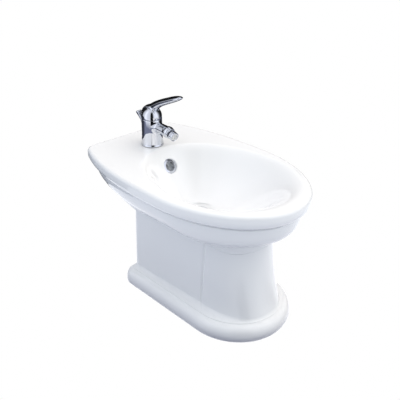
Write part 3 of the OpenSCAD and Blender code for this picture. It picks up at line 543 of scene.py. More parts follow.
finishes = {
    "glaze": {"dark": (0.895, 0.90, 0.905), "light": (0.925, 0.93, 0.935), "rough": (0.055, 0.11),
              "ior": 1.52, "ripple": (38, 0.05, 0.0004), "orange": (260, 0.04, 0.0001)},
    "biscuit": {"dark": (0.70, 0.67, 0.61), "light": (0.82, 0.80, 0.76), "rough": (0.55, 0.8),
                "grain": (900, 0.35, 0.0003), "sponge": (45, 0.25, 0.0008)},
    "chrome": {"dark": (0.63, 0.65, 0.69), "light": (0.70, 0.72, 0.76), "rough": (0.025, 0.06),
               "haze": 22, "buff": (1400, 0.02, 0.00005)},
    "brass": {"dark": (0.50, 0.33, 0.12), "light": (0.80, 0.60, 0.27), "rough": (0.22, 0.42), "metal": 1,
              "tooling": (900, 0.25, 0.0001)},
    "steel": {"dark": (0.42, 0.43, 0.44), "light": (0.68, 0.69, 0.70), "rough": (0.24, 0.42), "metal": 1,
              "tooling": (1200, 0.2, 0.0001)},
    "copper": {"dark": (0.45, 0.19, 0.09), "light": (0.82, 0.45, 0.30), "rough": (0.2, 0.4), "metal": 1,
               "tooling": (500, 0.15, 0.0001)},
    "rubber": {"dark": (0.012, 0.012, 0.013), "light": (0.035, 0.035, 0.037), "rough": (0.6, 0.8), "metal": 0,
               "tooling": (1500, 0.3, 0.0002)},
    "nylon": {"dark": (0.72, 0.72, 0.71), "light": (0.84, 0.84, 0.83), "rough": (0.35, 0.5), "metal": 0,
              "tooling": (700, 0.12, 0.0002)},
    "plastic": {"dark": (0.80, 0.80, 0.79), "light": (0.87, 0.87, 0.86), "rough": (0.28, 0.42), "metal": 0,
                "tooling": (1100, 0.12, 0.0002)},
    "cartridge": {"dark": (0.66, 0.67, 0.70), "light": (0.80, 0.81, 0.84), "rough": (0.18, 0.3), "metal": 0,
                  "tooling": (800, 0.08, 0.0001)},
}


def glazeFinish(f):
    mat, tree, s = shader("glaze")
    coord = add(tree, "ShaderNodeTexCoord")
    tree.links.new(shade(tree, noise(tree, coord, 7, 2), f["dark"], f["light"]), s.inputs["Base Color"])
    tree.links.new(between(tree, noise(tree, coord, 26, 3), *f["rough"]), s.inputs["Roughness"])
    s.inputs["IOR"].default_value = f["ior"]
    ripple, orange = f["ripple"], f["orange"]
    bump(tree, s, [(noise(tree, coord, ripple[0], 1), *ripple[1:]),
                   (noise(tree, coord, orange[0], 1), *orange[1:])])
    return mat


def biscuitFinish(f):
    mat, tree, s = shader("biscuit")
    coord = add(tree, "ShaderNodeTexCoord")
    tree.links.new(shade(tree, noise(tree, coord, 30, 5), f["dark"], f["light"]), s.inputs["Base Color"])
    tree.links.new(between(tree, noise(tree, coord, 18, 3), *f["rough"]), s.inputs["Roughness"])
    grain, sponge = f["grain"], f["sponge"]
    bump(tree, s, [(noise(tree, coord, sponge[0], 3), *sponge[1:]),
                   (noise(tree, coord, grain[0], 2), *grain[1:])])
    return mat


def chromeFinish(f):
    mat, tree, s = shader("chrome")
    coord = add(tree, "ShaderNodeTexCoord")
    haze = noise(tree, coord, f["haze"], 4, 0.6)
    tree.links.new(shade(tree, haze, f["dark"], f["light"]), s.inputs["Base Color"])
    tree.links.new(between(tree, haze, *f["rough"]), s.inputs["Roughness"])
    s.inputs["Metallic"].default_value = 1
    buff = f["buff"]
    bump(tree, s, [(noise(tree, coord, buff[0], 2, 0.5, (1, 1, 0.15)), *buff[1:])])
    return mat


def plainFinish(name, f):
    mat, tree, s = shader(name)
    coord = add(tree, "ShaderNodeTexCoord")
    tree.links.new(shade(tree, noise(tree, coord, 60, 4, 0.6), f["dark"], f["light"]), s.inputs["Base Color"])
    tree.links.new(between(tree, noise(tree, coord, 140, 3), *f["rough"]), s.inputs["Roughness"])
    s.inputs["Metallic"].default_value = f["metal"]
    tooling = f["tooling"]
    stretch = (1, 1, 0.08) if f["metal"] else None
    bump(tree, s, [(noise(tree, coord, tooling[0], 2, 0.5, stretch), *tooling[1:])])
    return mat


mats = {"glaze": glazeFinish(finishes["glaze"]), "biscuit": biscuitFinish(finishes["biscuit"]),
        "chrome": chromeFinish(finishes["chrome"])}
for kind in ("brass", "steel", "copper", "rubber", "nylon", "plastic", "cartridge"):
    mats[kind] = plainFinish(kind, finishes[kind])
for row in frame["record"]["subparts"]:
    ob = frame["nodes"][row["node"]]
    ob.data.materials.clear()
    ob.data.materials.append(mats[row["material_slot"]])
print("finishes ready")

# the ceramic is one casting, built of closed rings from the floor up and back down inside it
ceramic = {
    # rim slab, seen from above and from the side
    "backY": 300, "frontY": -300, "rimHalf": 190, "rimH": 370, "wideY": -28,
    "backHalf": 117, "backR": 30, "backLean": 23,
    "slab": 38, "slabTopR": 9, "slabLowR": 22, "slabLowD": 17, "groove": 7, "grooveD": 3.5,
    # underside of the bowl: how full it is at the sides, how much more at the nose, and over what length
    "fullSide": 2.4, "fullNose": 1.1, "fullOver": 180, "underSlope": 0.1, "underOut": 4.5,
    # pedestal: its neck dips at the nose, and a crease parts the nose from each side panel
    "neckH": 240, "neckBand": 14, "neckDip": 11, "dipOver": 80,
    "columnHalf": 113, "columnTaper": 8, "columnBackY": 139, "columnBackShift": 19, "columnR": 14,
    "noseHalf": 96.5, "noseB": 96, "noseFlare": 29, "noseFull": 0.5,
    "creaseY": -111, "creaseShift": 16, "creaseD": 2.5, "creaseW": 3.6, "creaseSharp": 0.8,
    "plinthHalf": 137, "plinthR": 23.5, "plinthY": 169, "plinthFrontY": -265, "plinthNose": 145,
    "rollH": 48, "rollD": 19, "rollTurn": 78, "ledge": 13, "flatBack": 0.35,
    # basin and waste hole
    "basinD": 140, "basinShape": 2.6, "basinSoft": 1.88, "land": 27, "basinBackY": 158, "eggY": -84,
    "wasteY": 10, "bossR": 37, "bossLow": 187, "bossTop": 214,
    # hidden side: wall, basin floor, how far its underside stands out
    "skin": 10, "floorT": 12, "underSpread": 8,
    "fineness": 4,
}
c = ceramic
# how far the points stand along the outline's sides, and in degrees round its front
sideU = [1, 0.86, 0.72, 0.58, 0.44, 0.31, 0.18, 0.08, 0.02, 0]
frontV = [0, 3, 9, 16, 24, 32, 40, 48, 56, 64, 72, 79, 85, 90]
creaseAt = 17 * c["fineness"]  # where the front part of an outline starts


def finer(values, per):
    # an even curve through the values
    v = np.asarray(values, float)
    slope = np.gradient(v)
    out = [v[:1]]
    for i in range(len(v) - 1):
        t = np.arange(1, per + 1) / per
        out.append((2 * t ** 3 - 3 * t ** 2 + 1) * v[i] + (t ** 3 - 2 * t ** 2 + t) * slope[i]
                   + (3 * t ** 2 - 2 * t ** 3) * v[i + 1] + (t ** 3 - t ** 2) * slope[i + 1])
    return np.concatenate(out)


def outline(yb, xc, rc, lean, a, ym, b, n=2.0):
    # seen from above, clockwise from the middle of the back: a corner of radius rc at (xc, yb),
    # a side that reaches the half width a at ym, then a front of length b and fullness n
    per, lean = c["fineness"], math.radians(lean)
    xe, ye = xc + rc * math.cos(lean), yb - rc + rc * math.sin(lean)
    m = math.tan(lean) * (ye - ym) / (a - xe) if lean else 1
    k = np.arange(3 * per) / (3 * per)
    t = math.pi / 2 - (math.pi / 2 - lean) * np.arange(5 * per) / (5 * per)
    u = finer(sideU, per)[:-1]
    v = np.radians(finer(frontV, per))
    half = np.vstack([
        np.column_stack([xc * k, np.full(len(k), yb)]),
        np.column_stack([xc + rc * np.cos(t), yb - rc + rc * np.sin(t)]),
        np.column_stack([a - (a - xe) * u ** m, ym + (ye - ym) * u]),
        np.column_stack([a * np.abs(np.cos(v)) ** (2 / n), ym - b * np.sin(v) ** (2 / n)]),
    ])
    half[-1, 0] = 0
    return np.vstack([half, half[1:-1][::-1] * [-1, 1]])


def outward(p):
    # the outline's own directions away from its middle
    after, before = np.roll(p, -1, 0) - p, p - np.roll(p, 1, 0)
    la, lb = np.linalg.norm(after, axis=1)[:, None], np.linalg.norm(before, axis=1)[:, None]
    t = after * lb / la + before * la / lb
    t /= np.linalg.norm(t, axis=1)[:, None]
    return np.column_stack([-t[:, 1], t[:, 0]])


def inset(p, d):
    return p - d * outward(p)


def lift(p, z):
    return np.column_stack([p, np.broadcast_to(z, len(p))])


rimLine = outline(c["backY"], c["backHalf"], c["backR"], c["backLean"], c["rimHalf"], c["wideY"],
                  c["wideY"] - c["frontY"])
plinthLine = outline(c["plinthY"], c["plinthHalf"] - c["plinthR"], c["plinthR"], 0, c["plinthHalf"],
                     c["plinthFrontY"] + c["plinthNose"], c["plinthNose"])
bandZ = c["rimH"] - c["slab"] - c["groove"]
slabZ = c["rimH"] - c["slab"]
grooveIn = c["slabLowD"] + c["grooveD"]
neckTop = c["neckH"] + c["neckBand"]
footZ = c["rollH"] + c["ledge"]


def rolled(d):
    # the plinth's outline moved inwards by d, less so at the back
    o = outward(plinthLine)
    o[:, 1] = np.where(o[:, 1] > 0, c["flatBack"] * o[:, 1], o[:, 1])
    return plinthLine - d * o


def column(k, out=0.0, crease=1.0):
    # k = 0 at the neck and 1 at the foot
    w = c["columnHalf"] - c["columnTaper"] * k
    ym = c["creaseY"] + c["creaseShift"] * k
    b = ym - c["creaseY"] + c["noseB"] + c["noseFlare"] * k * k
    p = outline(c["columnBackY"] + c["columnBackShift"] * k, w - c["columnR"], c["columnR"], 0,
                c["noseHalf"], ym, b, 2 + c["noseFull"] * k)
    o = outward(p)
    q = p + out * o
    for at in (creaseAt, len(p) - creaseAt):
        near = 1 - np.linalg.norm(p - p[at], axis=1) / c["creaseW"]
        q -= (np.maximum(near, 0) ** c["creaseSharp"] * c["creaseD"] * crease)[:, None] * o
    return q


def fullness(p):
    # the bowl's underside is fuller towards the nose
    return c["fullSide"] + c["fullNose"] * np.clip((c["wideY"] - p[:, 1]) / c["fullOver"], 0, 1)


def bandShare(p):
    # the band under the bowl shows at the front and dies out towards the panels
    t = np.clip((c["creaseY"] - p[:, 1]) / c["dipOver"], 0, 1)
    return t * t * (3 - 2 * t)


def underRing(h):
    # h = 0 under the rim and 1 at the neck
    p, q = inset(rimLine, grooveIn - 1), column(0, c["underOut"], 0)
    k = c["underSlope"] * h + (1 - c["underSlope"]) * h ** fullness(rimLine)
    return p + (q - p) * k[:, None]


def egg(p):
    # the basin's edge, met from its centre in the directions of the points p
    d = p - [0, c["eggY"]]
    t = d / np.linalg.norm(d, axis=1)[:, None]
    b = np.where(t[:, 1] > 0, c["basinBackY"] - c["eggY"], c["eggY"] - c["frontY"] - c["land"])
    a = c["rimHalf"] - c["land"]
    return [0, c["eggY"]] + t / np.sqrt((t[:, 0] / a) ** 2 + (t[:, 1] / b) ** 2)[:, None]


eggLine = egg(rimLine)
waste = np.array([0, c["wasteY"]])


def basinDepth(s):
    # s = 0 at the waste and 1 at the basin's edge
    return c["basinD"] * (1 - np.minimum(s, 1) ** c["basinShape"]) ** c["basinSoft"]


def basinRing(s):
    return lift(waste + s * (eggLine - waste), c["rimH"] - basinDepth(s))


def wasteRing(r, z, level=1.0):
    # a circle round the waste hole; level blends from the basin's own height to z
    d = eggLine - waste
    far = np.linalg.norm(d, axis=1)
    own = c["rimH"] - basinDepth(r / far)
    return lift(waste + d / far[:, None] * r, z * level + own * (1 - level))


outerShape = {
    "roll": (-78, -68, -55, -40, -25, -10, 5, 20, 35, 50, 62, 72, 80, 86),  # degrees round the roll
    "line": ((0.3, 0.8), (2.4, 1.2), (2.6, 2.6), (1.2, 2.9)),  # inwards from the roll's top, and up
    "coveIn": 1.8, "creaseIn": 1.2,
    "cove": ((0.1, 3.3), (0.4, 4.4), (0.65, 6.1), (0.84, 8.5), (0.95, 11.2)),  # share of the column, and up
    "column": (1, 0.9, 0.75, 0.6, 0.45, 0.3, 0.15, 0.04), "columnEnd": -2,
    # outwards from the neck, depth of the crease, up, and up again at the nose
    "neck": ((0.1, 0.9, -2.6, 0), (-1.2, 0.7, -2.2, 0), (-1.4, 0.6, -0.6, 0), (2.4, 0.3, -0.1, 0),
             (3.5, 0.1, 0.5, 0), (3.9, 0, 1.2, 8), (4.2, 0, 1.4, 17)),
    "underFrom": (1.6, 20),
    "under": (1, 0.96, 0.91, 0.85, 0.78, 0.7, 0.62, 0.53, 0.44, 0.35, 0.26, 0.18, 0.11, 0.05),
    # outwards from the groove's bottom, and up
    "groove": ((1.0, 0.1), (-1.0, 0.4), (-1.2, 1.1), (1.6, 1.5), (1.8, 2.2), (1.2, 2.6),
               (-4.5, 2.9), (-4.5, 6.9)),
    # degrees round the slab's lower rounding and how much further in, and round its upper one
    "slabLow": ((90, 1.2), (90, 0.2), (82, 0), (72, 0), (60, 0), (48, 0), (36, 0), (24, 0), (12, 0), (0, 0)),
    "slabTop": (0, 15, 30, 45, 60, 75, 86, 90),
    "flat": (0.6, 1.6, 3.2), "lip": (1.02, 1.006),  # in from the rounding, and out from the basin's edge
    "basin": (1, 0.96, 0.92, 0.88, 0.83, 0.77, 0.71, 0.64, 0.56, 0.47, 0.37, 0.30),
    # round the waste: radius, height, and how far that height counts
    "seat": ((42, 234, 0.3), (38, 233.2, 0.7), (35.2, 232.8, 0.95), (33.8, 232.3), (33.1, 231.4),
             (33, 230)),
}


def quarter(rIn, rUp, degrees):
    # how far in and up a rounding has gone
    t = np.radians(degrees)
    return rIn * (1 - math.cos(t)), rUp * (1 - math.sin(t))


def outerRings():
    o = outerShape
    share = bandShare(column(0))
    neckZ = c["neckH"] - c["neckDip"] * share
    half, full = c["rollH"] / 2, math.sin(math.radians(c["rollTurn"]))
    rings = [lift(rolled(c["rollD"] * (1 - math.cos(t))), half * (1 + math.sin(t) / full))
             for t in np.radians(o["roll"])]
    rings += [lift(rolled(c["rollD"] + d), c["rollH"] + z) for d, z in o["line"]]
    top = rolled(c["rollD"] + o["coveIn"])
    rings += [lift(top * (1 - m) + column(1, 0, min(1, m * o["creaseIn"])) * m, c["rollH"] + z)
              for m, z in o["cove"]]
    rings += [lift(column(k), footZ + (neckZ + o["columnEnd"] - footZ) * (1 - k)) for k in o["column"]]
    rings += [lift(column(0, out, crease), neckZ + z + rise * share) for out, crease, z, rise in o["neck"]]
    z, rise = o["underFrom"]
    rings += [lift(underRing(h), bandZ + (neckZ + z + rise * share - bandZ) * h) for h in o["under"]]
    rings += [lift(inset(rimLine, grooveIn - d), bandZ + z) for d, z in o["groove"]]
    for degrees, more in o["slabLow"]:
        d, z = quarter(c["slabLowD"], c["slabLowR"], degrees)
        rings.append(lift(inset(rimLine, d + more), slabZ + z))
    for degrees in o["slabTop"]:
        d, z = quarter(c["slabTopR"], c["slabTopR"], degrees)
        rings.append(lift(inset(rimLine, d), c["rimH"] - z))
    rings += [lift(inset(rimLine, c["slabTopR"] + d), c["rimH"]) for d in o["flat"]]
    rings += [lift(waste + s * (eggLine - waste), c["rimH"]) for s in o["lip"]]
    rings += [basinRing(s) for s in finer(o["basin"], 2)]
    rings += [wasteRing(*row) for row in o["seat"]]
    return softened(np.array(rings), 2)


innerShape = {
    # the waste hole, the basin's underside and the walls, as shares or heights, down to the foot
    "hole": ((33, 227.7), (33, 227.5), (32.8, 227.5), (23.2, 227.5), (23, 227.3)), "holeR": 23,
    "under": (0.3, 0.36, 0.42, 0.48, 0.54, 0.6, 0.66, 0.72, 0.77, 0.82, 0.86),
    "wall": (346, 321, 312, 304, 295, 280, 268, 256, 236),
    "lowWall": (0.8, 30), "foot": 14, "step": (4, 12),
}


def innerWall(z):
    if z > neckTop:
        return inset(underRing((bandZ - min(z, bandZ)) / (bandZ - neckTop)), c["skin"])
    k = (c["neckH"] - z) / (c["neckH"] - footZ)
    return column(max(k, 0), -c["skin"] - 1, 0)


def innerRings():
    v = innerShape
    rings = [wasteRing(*row) for row in v["hole"]]
    boss = ((v["holeR"], c["bossLow"]), (c["bossR"], c["bossLow"]), (c["bossR"], c["bossTop"]))
    rings += [wasteRing(r, z) for r, z in boss]
    low = c["rimH"] - c["floorT"]
    rings += [lift(inset(waste + s * (eggLine - waste), -c["underSpread"]), low - basinDepth(s)) for s in v["under"]]
    rings += [lift(innerWall(z), z) for z in v["wall"]]
    share, up = v["lowWall"]
    back, z = v["step"]
    rings += [lift(column(share, -c["skin"] - 1, 0), footZ + up),
              lift(column(1, -c["skin"], 0), footZ - v["foot"]),
              lift(rolled(c["rollD"] + c["skin"]), z), lift(rolled(c["rollD"] + c["skin"] - back), 0)]
    return np.array(rings)


def makeShell():
    outer, inner = outerRings(), innerRings()
    rings = np.concatenate([outer, inner])
    m, n = rings.shape[:2]
    # outer rings run up from the floor, inner rings run back down to it
    faces, groups = [], []
    for j in range(m):
        k = (j + 1) % m
        inside = len(outer) + 4 <= j < m - 1  # unglazed from the waste hole's wall on
        for i in range(n):
            e = (i + 1) % n
            faces.append((j * n + i, k * n + i, k * n + e, j * n + e))
            groups.append(1 if inside else 0)
    return facedOut(meshFrom("ceramic", rings.reshape(-1, 3), faces, groups))


tap = {"y": 192, "deck": 370, "hole": 35}
overflow = {
    "s": 0.754, "lean": 58,  # place on the basin's back wall, and how far its axis leans
    "seatR": 20.5, "seatD": 2.6, "sleeveR": 15.5, "sleeveD": 20,
    # the duct runs from behind the bore over a bend to the waste
    "ductIn": 24, "bend": (8, -80), "ductEnd": (20, 17), "ductWall": 16, "ductR": 9.5, "elbow": 1.04,
}
overflow["y"] = c["wasteY"] + overflow["s"] * (c["basinBackY"] - c["wasteY"])
overflow["z"] = float(c["rimH"] - basinDepth(overflow["s"]))
onDeck = Matrix.Translation((0, tap["y"], tap["deck"]))
atOverflow = Matrix.Translation((0, overflow["y"], overflow["z"]))
atOverflow = atOverflow @ Matrix.Rotation(math.radians(overflow["lean"]), 4, "X")


def ductSolids(r):
    v = overflow
    lean = math.radians(v["lean"])
    top = (0, v["y"] + v["ductIn"] * math.sin(lean), v["z"] - v["ductIn"] * math.cos(lean))
    bend = (0, v["y"] + v["bend"][0], v["z"] + v["bend"][1])
    end = (0, c["wasteY"] + v["ductEnd"][0], c["bossLow"] + v["ductEnd"][1])
    return [rod("duct", top, bend, r), rod("duct", bend, end, r),
            ball("duct", top, v["elbow"] * r), ball("duct", bend, v["elbow"] * r)]


hidden = {
    # the arch at the back: half width, height, corner radius, and its depth towards -y
    "arch": (75, 310, 30), "archY": (-301, -113),
    # the feet: inner and outer x, from and to along y, height; and their fixing holes
    "lug": (71, 114), "lugY": (75, 109), "lugH": 22, "fixing": (88, 92), "fixingR": 6,
    "room": ((-58, 160, 324), (58, 248, 352)),  # the thinner deck under the tap
}


def archOutline(half, high, r):
    pts = [(-half, -1), (half, -1)]
    for side, start, end in ((1, 0, 90), (-1, 90, 180)):
        pts += [(side * (half - r) + r * math.cos(a), high - r + r * math.sin(a))
                for a in np.radians(np.linspace(start, end, 13))]
    return pts


def makeCeramic():
    h, v = hidden, overflow
    ob = makeShell()
    standing = Matrix(((1, 0, 0, 0), (0, 0, -1, 0), (0, 1, 0, 0), (0, 0, 0, 1)))  # x stays, y goes up
    carved(ob, prism("opening", archOutline(*h["arch"]), *h["archY"], standing))
    united(ob, *ductSolids(v["ductWall"]))
    (near, far), (front, back) = h["lug"], h["lugY"]
    united(ob, block("lug", (-far, front, 0), (-near, back, h["lugH"])),
           block("lug", (near, front, 0), (far, back, h["lugH"])))
    y, z = tap["y"], tap["deck"]
    carved(ob, block("room", *h["room"]), rod("hole", (0, y, z - 30), (0, y, z + 10), tap["hole"] / 2, 96))
    r, d = v["seatR"], v["seatD"]
    seat = lathe("seat", [(0, -d), (r, -d, 0.3), (r, 20), (0, 20)], atOverflow)
    r, d = v["sleeveR"], v["sleeveD"]
    sleeve = lathe("sleeve", [(0, -d), (r, -d), (r, 1), (0, 1)], atOverflow)
    carved(ob, seat, sleeve, *ductSolids(v["ductR"]))
    x, y = h["fixing"]
    carved(ob, *(rod("hole", (at, y, -1), (at, y, 30), h["fixingR"]) for at in (-x, x)))
    print("ceramic", len(ob.data.vertices), len(ob.data.polygons))
    return settle(ob, "base", [mats["glaze"], mats["biscuit"]], ["ceramic_body"], 62)


makeCeramic()

# the tap: one casting of foot, barrel and spout arm, drawn round its own axis from the deck up
tap.update({
    "side": [(30, 1.2), (30, 3.0), (29.2, 5.5), (28.6, 9), (28.1, 13), (27.5, 20), (27.1, 28),
             (27, 38), (26.9, 48), (26.9, 61), (27, 73)],
    "seam": 73, "foot": 1.2, "footEdge": 0.8, "seamEdge": 0.7,
    "armR": 13.25, "armFrom": (0, -20, 55), "armTo": (0, -66, 52), "blend": 7,
    "jointR": 15.3, "jointBlend": 2.5, "face": 5, "faceEdge": 0.9, "down": 16, "pivot": 79,
    # bores from below, as x and y of each pair, depth and radius
    "tail": (8, -9, 20, 5.1), "stud": (13, 6, 18, 3),
    # turned spaces inside, from, to and radius
    "spaces": ((0, 8, 24), (49, 74, 17.7), (63, 74, 21)),
    "liftY": 12.7, "liftLean": 28, "liftR": 3.3, "cavityR": 11.9, "spigotR": 12.1, "spigot": 10,
})
atBall = onDeck @ Matrix.Translation(tap["armTo"]) @ Matrix.Rotation(math.radians(90 + tap["down"]), 4, "X")
atPivot = onDeck @ Matrix.Translation((0, 0, tap["pivot"]))
onLift = onDeck @ Matrix.Translation((0, tap["liftY"], 0))
onLift = onLift @ Matrix.Rotation(math.radians(-tap["liftLean"]), 4, "X")


def capsule(p, a, b, r):
    a, b = np.array(a, float), np.array(b, float)
    t = np.clip((p - a) @ (b - a) / ((b - a) @ (b - a)), 0, 1)
    return np.linalg.norm(p - a - t[:, None] * (b - a), axis=1) - r


def barrelField(p):
    side = softened(tap["side"], 2)
    r = np.hypot(p[:, 0], p[:, 1])
    return smax(r - np.interp(p[:, 2], side[:, 1], side[:, 0]), tap["foot"] - p[:, 2], tap["footEdge"])


def tapField(p):
    down = math.radians(tap["down"])
    out = np.array([0, -math.cos(down), -math.sin(down)])  # along the nozzle
    centre = np.array(tap["armTo"], float)
    arm = capsule(p, tap["armFrom"], tap["armTo"], tap["armR"])
    knuckle = np.linalg.norm(p - centre, axis=1) - tap["jointR"]
    arm = smax(smin(arm, knuckle, tap["jointBlend"]), (p - centre) @ out - tap["face"], tap["faceEdge"])
    return smax(smin(barrelField(p), arm, tap["blend"]), p[:, 2] - tap["seam"], tap["seamEdge"])


def makeTapBody():
    t = tap
    solids = [lathe("barrel", [(0, t["foot"])] + t["side"] + [(0, t["seam"])]),
              rod("arm", t["armFrom"], t["armTo"], t["armR"] + 0.4),
              ball("knuckle", t["armTo"], t["jointR"])]
    ob = cast("tapBody", solids, tapField, 0.8, onDeck)
    hollows = []
    for side, y, deep, r in (t["tail"], t["stud"]):
        hollows += [rod("bore", (x, y, -1), (x, y, deep), r) for x in (-side, side)]
    hollows += [rod("space", (0, 0, low), (0, 0, high), r, 96) for low, high, r in t["spaces"]]
    for hollow in hollows:
        hollow.data.transform(onDeck)
    spigot = rod("spigot", (0, 0, 0), (0, 0, t["spigot"]), t["spigotR"])
    for hollow in (ball("cavity", (0, 0, 0), t["cavityR"]), spigot):
        hollow.data.transform(atBall)
        hollows.append(hollow)
    lift = rod("liftHole", (0, 0, -10), (0, 0, 60), t["liftR"])
    lift.data.transform(onLift)
    carved(ob, *hollows, lift)
    return settle(ob, "base", mats["chrome"], ["tap_body"], 40)


makeTapBody()
print("tap body")

lever = {
    # station along the lever, top, bottom, half width
    "paddle": [(-12, 104, 88, 9.5), (0, 112.2, 88, 12), (12, 119.6, 92, 12.4), (24, 125.7, 101.6, 12.4),
               (36.6, 131.4, 111.2, 12.3), (50, 137.1, 118.2, 12.2), (65, 142.9, 125, 12.1),
               (80, 148.8, 131.7, 12), (94, 153.6, 137.8, 11.8), (103, 155.8, 142.2, 11.4),
               (110, 156.6, 145.8, 10.4), (114.5, 156.3, 148.8, 8.6), (117, 155.2, 151, 6),
               (118.2, 153.5, 153.3, 0.5)],
    "square": (2.05, 2.2),  # how square the section is above and below its middle
    "ends": (-12.5, 118.2), "endEdges": (3, 0.6),
    "saddleIn": 27.25, "saddleOut": 30.3, "saddleHalf": 13, "saddleY": (6, 25), "saddleLow": 7.8,
    "saddleEdges": (1.5, 2, 1.0, 0.5), "blend": 5, "around": 24,
    "socket": (6, 10, 29), "stem": (4.05, 25.2), "boss": ((0, 15.4, 24), (0, 5, 17.6), 4.6),
    "grub": ((0, 22, 28.05), (0, 3, 16.37), 2.55),
}


def leverField(p):
    v = lever
    s = softened(v["paddle"], 3)
    at = -p[:, 1]
    top, low, half = (np.interp(at, s[:, 0], s[:, i]) for i in (1, 2, 3))
    top, low = top - tap["pivot"], low - tap["pivot"]
    mid, tall = (top + low) / 2, (top - low) / 2
    n = np.where(p[:, 2] > mid, *v["square"])
    q = ((np.abs(p[:, 0]) / half) ** n + (np.abs(p[:, 2] - mid) / tall) ** n + 1e-9) ** (1 / n)
    (back, tip), (backEdge, tipEdge) = v["ends"], v["endEdges"]
    paddle = smax(smax((q - 1) * np.minimum(half, tall), at - tip, tipEdge), back - at, backEdge)
    r = np.linalg.norm(p, axis=1)
    middle, reach = v["saddleY"]
    edges = v["saddleEdges"]
    saddle = smax(r - v["saddleOut"], np.abs(p[:, 0]) - v["saddleHalf"], edges[0])
    saddle = smax(saddle, np.abs(p[:, 1] - middle) - reach, edges[1])
    saddle = smax(saddle, v["saddleLow"] - p[:, 2], edges[2])
    return smax(smin(paddle, saddle, v["blend"]), v["saddleIn"] - r, edges[3])


def makeLever():
    # a rough body first, which the field then draws in
    v, n = lever, lever["around"]
    pts = []
    for at, top, low, half in v["paddle"]:
        pts += [(half * math.cos(a), -at, (top + low) / 2 - tap["pivot"] + (top - low) / 2 * math.sin(a))
                for a in np.linspace(0, 2 * math.pi, n, endpoint=False)]
    faces = [(j * n + i, j * n + (i + 1) % n, (j + 1) * n + (i + 1) % n, (j + 1) * n + i)
             for j in range(len(v["paddle"]) - 1) for i in range(n)]
    faces += [tuple(range(n))[::-1], tuple(range(len(pts) - n, len(pts)))]
    body = meshFrom("paddle", pts, faces)
    shell = lathe("saddle", arc(0, 0, v["saddleOut"], 14, 90, 14) + arc(0, 0, v["saddleIn"], 90, 14, 14))
    side, (middle, reach) = v["saddleHalf"], v["saddleY"]
    carved(shell, block("cut", (-40, -40, 0), (-side, 40, 40)), block("cut", (side, -40, 0), (40, 40, 40)),
           block("cut", (-40, -40, 0), (40, middle - reach, 40)))
    ob = cast("leverHandle", [body, shell], leverField, 0.8, Matrix.Identity(4), 6)
    (w, low, high), (s, deep) = v["socket"], v["stem"]
    united(ob, block("socket", (-w, -w, low), (w, w, high)), rod("boss", *v["boss"]))
    carved(ob, block("stemHole", (-s, -s, 0), (s, s, deep)), rod("grubBore", *v["grub"]))
    ob.data.transform(atPivot)
    return settle(ob, "handle", mats["chrome"], ["lever_handle"], 40)


makeLever()
print("lever")


dome = {"out": 26.9, "in": 24.6, "skirt": 5.6, "slot": (-16, 68), "slotHalf": 6.6}


def makeDome():
    v = dome
    skirt = [(v["in"], -v["skirt"]), (v["out"], -v["skirt"], 0.35)]
    ob = lathe("domeCover", skirt + arc(0, 0, v["out"], 0, 90, 28) + arc(0, 0, v["in"], 90, 0, 24), steps=128)
    wedge = [(0, 0)] + [(60 * math.sin(t), 60 * math.cos(t)) for t in np.radians(np.linspace(*v["slot"], 12))]
    side = Matrix(((0, 0, 1, 0), (1, 0, 0, 0), (0, 1, 0, 0), (0, 0, 0, 1)))  # the wedge lies in the side view
    carved(ob, prism("slot", wedge, -v["slotHalf"], v["slotHalf"], side))
    ob.data.transform(atPivot)
    return settle(ob, "dome", mats["chrome"], ["dome_cover"], 40)


makeDome()

nozzle = {
    # sides as radius, distance along the axis and rounding
    "collar": [(12, 0.6, 0.2), (12, 5, 0.3), (14.2, 5, 0.5), (14.2, 8.2, 0.7), (13.1, 9.2, 0.6),
               (10.4, 9.2, 0.4), (8.72, 4.8)],
    "cup": (9.8, 29, 3.6),
    "ball": 9.5, "neck": 6.8, "neckEnd": 15, "waterway": 3,
    "housing": [(4, 13), (6.0, 13), (11, 13, 0.5), (12, 14.2, 0.9), (12, 19.4), (11.75, 19.7), (11.75, 20.1),
                (12, 20.4), (12, 26, 1.1), (10.3, 26, 0.5), (9.6, 25.2, 0.4), (9.6, 17), (4, 17)],
    "socket": (6.85, 12, 15),
}


def makeNozzle():
    v = nozzle
    collar = lathe("nozzleCollar", v["collar"] + arc(0, 0, *v["cup"], 8), atBall)
    settle(collar, "base", mats["chrome"], ["nozzle_collar"])
    at = math.degrees(math.acos(v["neck"] / v["ball"]))
    low = -math.degrees(math.acos(v["waterway"] / v["ball"]))
    joint = lathe("nozzleBall", [(v["waterway"], v["neckEnd"])] + arc(0, 0, v["ball"], low, at, 24)
                  + [(v["neck"], v["neckEnd"])], atBall)
    settle(joint, "nozzle", mats["chrome"], ["nozzle_ball"])
    housing = lathe("nozzleHousing", v["housing"], atBall)
    r, low, high = v["socket"]
    carved(housing, lathe("socket", [(0, low), (r, low), (r, high), (0, high)], atBall))
    settle(housing, "nozzle", mats["chrome"], ["nozzle_housing"])


makeNozzle()

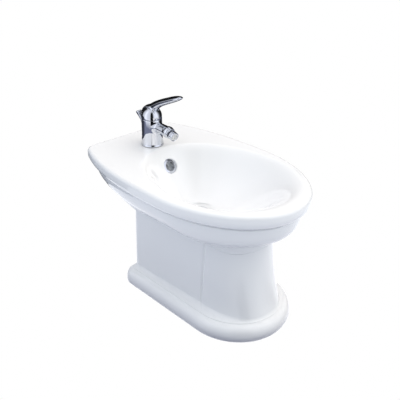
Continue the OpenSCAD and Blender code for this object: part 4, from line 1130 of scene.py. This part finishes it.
liftKnob = {
    "at": 67,
    "side": [(3.0, 0.0), (3.5, 0.0, 0.3), (4.0, 3), (4.6, 6.5), (5.3, 10), (6.2, 14), (7.1, 17.4),
             (7.6, 19.2, 0.8), (7.6, 21.2, 0.9), (6.4, 22.6, 0.8), (3.4, 23.0), (0, 23.0), (0, 11), (3.0, 11)],
}


def makeKnob():
    ob = lathe("liftKnob", liftKnob["side"], onLift @ Matrix.Translation((0, 0, liftKnob["at"])))
    return settle(ob, "lift", mats["chrome"], ["lift_knob"])


makeKnob()

overflowRing = {
    "sleeve": [(13.5, -18), (15.2, -18), (15.2, -2.6), (19.9, -2.6), (19.98, -2.3, 0.2)],
    "face": (19.2, 18.2, 17, 15.8, 14.6), "faceR": 60, "faceTop": 1.4,
    "bore": [(13.9, -0.25, 0.4), (13.5, -0.8, 0.3)],
}


def makeOverflowRing():
    # a low dome that falls from the bore to the rim
    v = overflowRing
    face = [(r, v["faceTop"] - v["faceR"] + math.sqrt(v["faceR"] ** 2 - r * r)) for r in v["face"]]
    ob = lathe("overflowRing", v["sleeve"] + face + v["bore"], atOverflow, 128)
    return settle(ob, "base", mats["chrome"], ["overflow_ring"])


makeOverflowRing()

wasteFit = {
    "flangeZ": 229, "tubeZ": 153.6, "bore": 17.5, "tube": 20.8,
    # the flange from its outer edge inwards: radius, height over its underside, rounding
    "flange": [(32, 0, 0.3), (31.6, 2.5, 1.0), (27, 2.5, 0.8), (24.4, 2.3, 0.8), (18.1, 0.7, 0.8)],
    "slot": (5, 197, 211), "slotReach": 40,
}


def makeWaste():
    w = wasteFit
    z = w["flangeZ"]
    side = [(w["bore"], w["tubeZ"]), (w["tube"], w["tubeZ"]), (w["tube"], z)]
    side += [(r, z + up, edge) for r, up, edge in w["flange"]] + [(w["bore"], z - 0.4)]
    flange = lathe("wasteFlange", side, Matrix.Translation((0, c["wasteY"], 0)), 128)
    (half, low, high), reach = w["slot"], w["slotReach"]
    carved(flange, block("slot", (-half, c["wasteY"] - reach, low), (half, c["wasteY"] + reach, high)))
    settle(flange, "base", mats["chrome"], ["waste_flange"])


makeWaste()
print("chrome pieces")
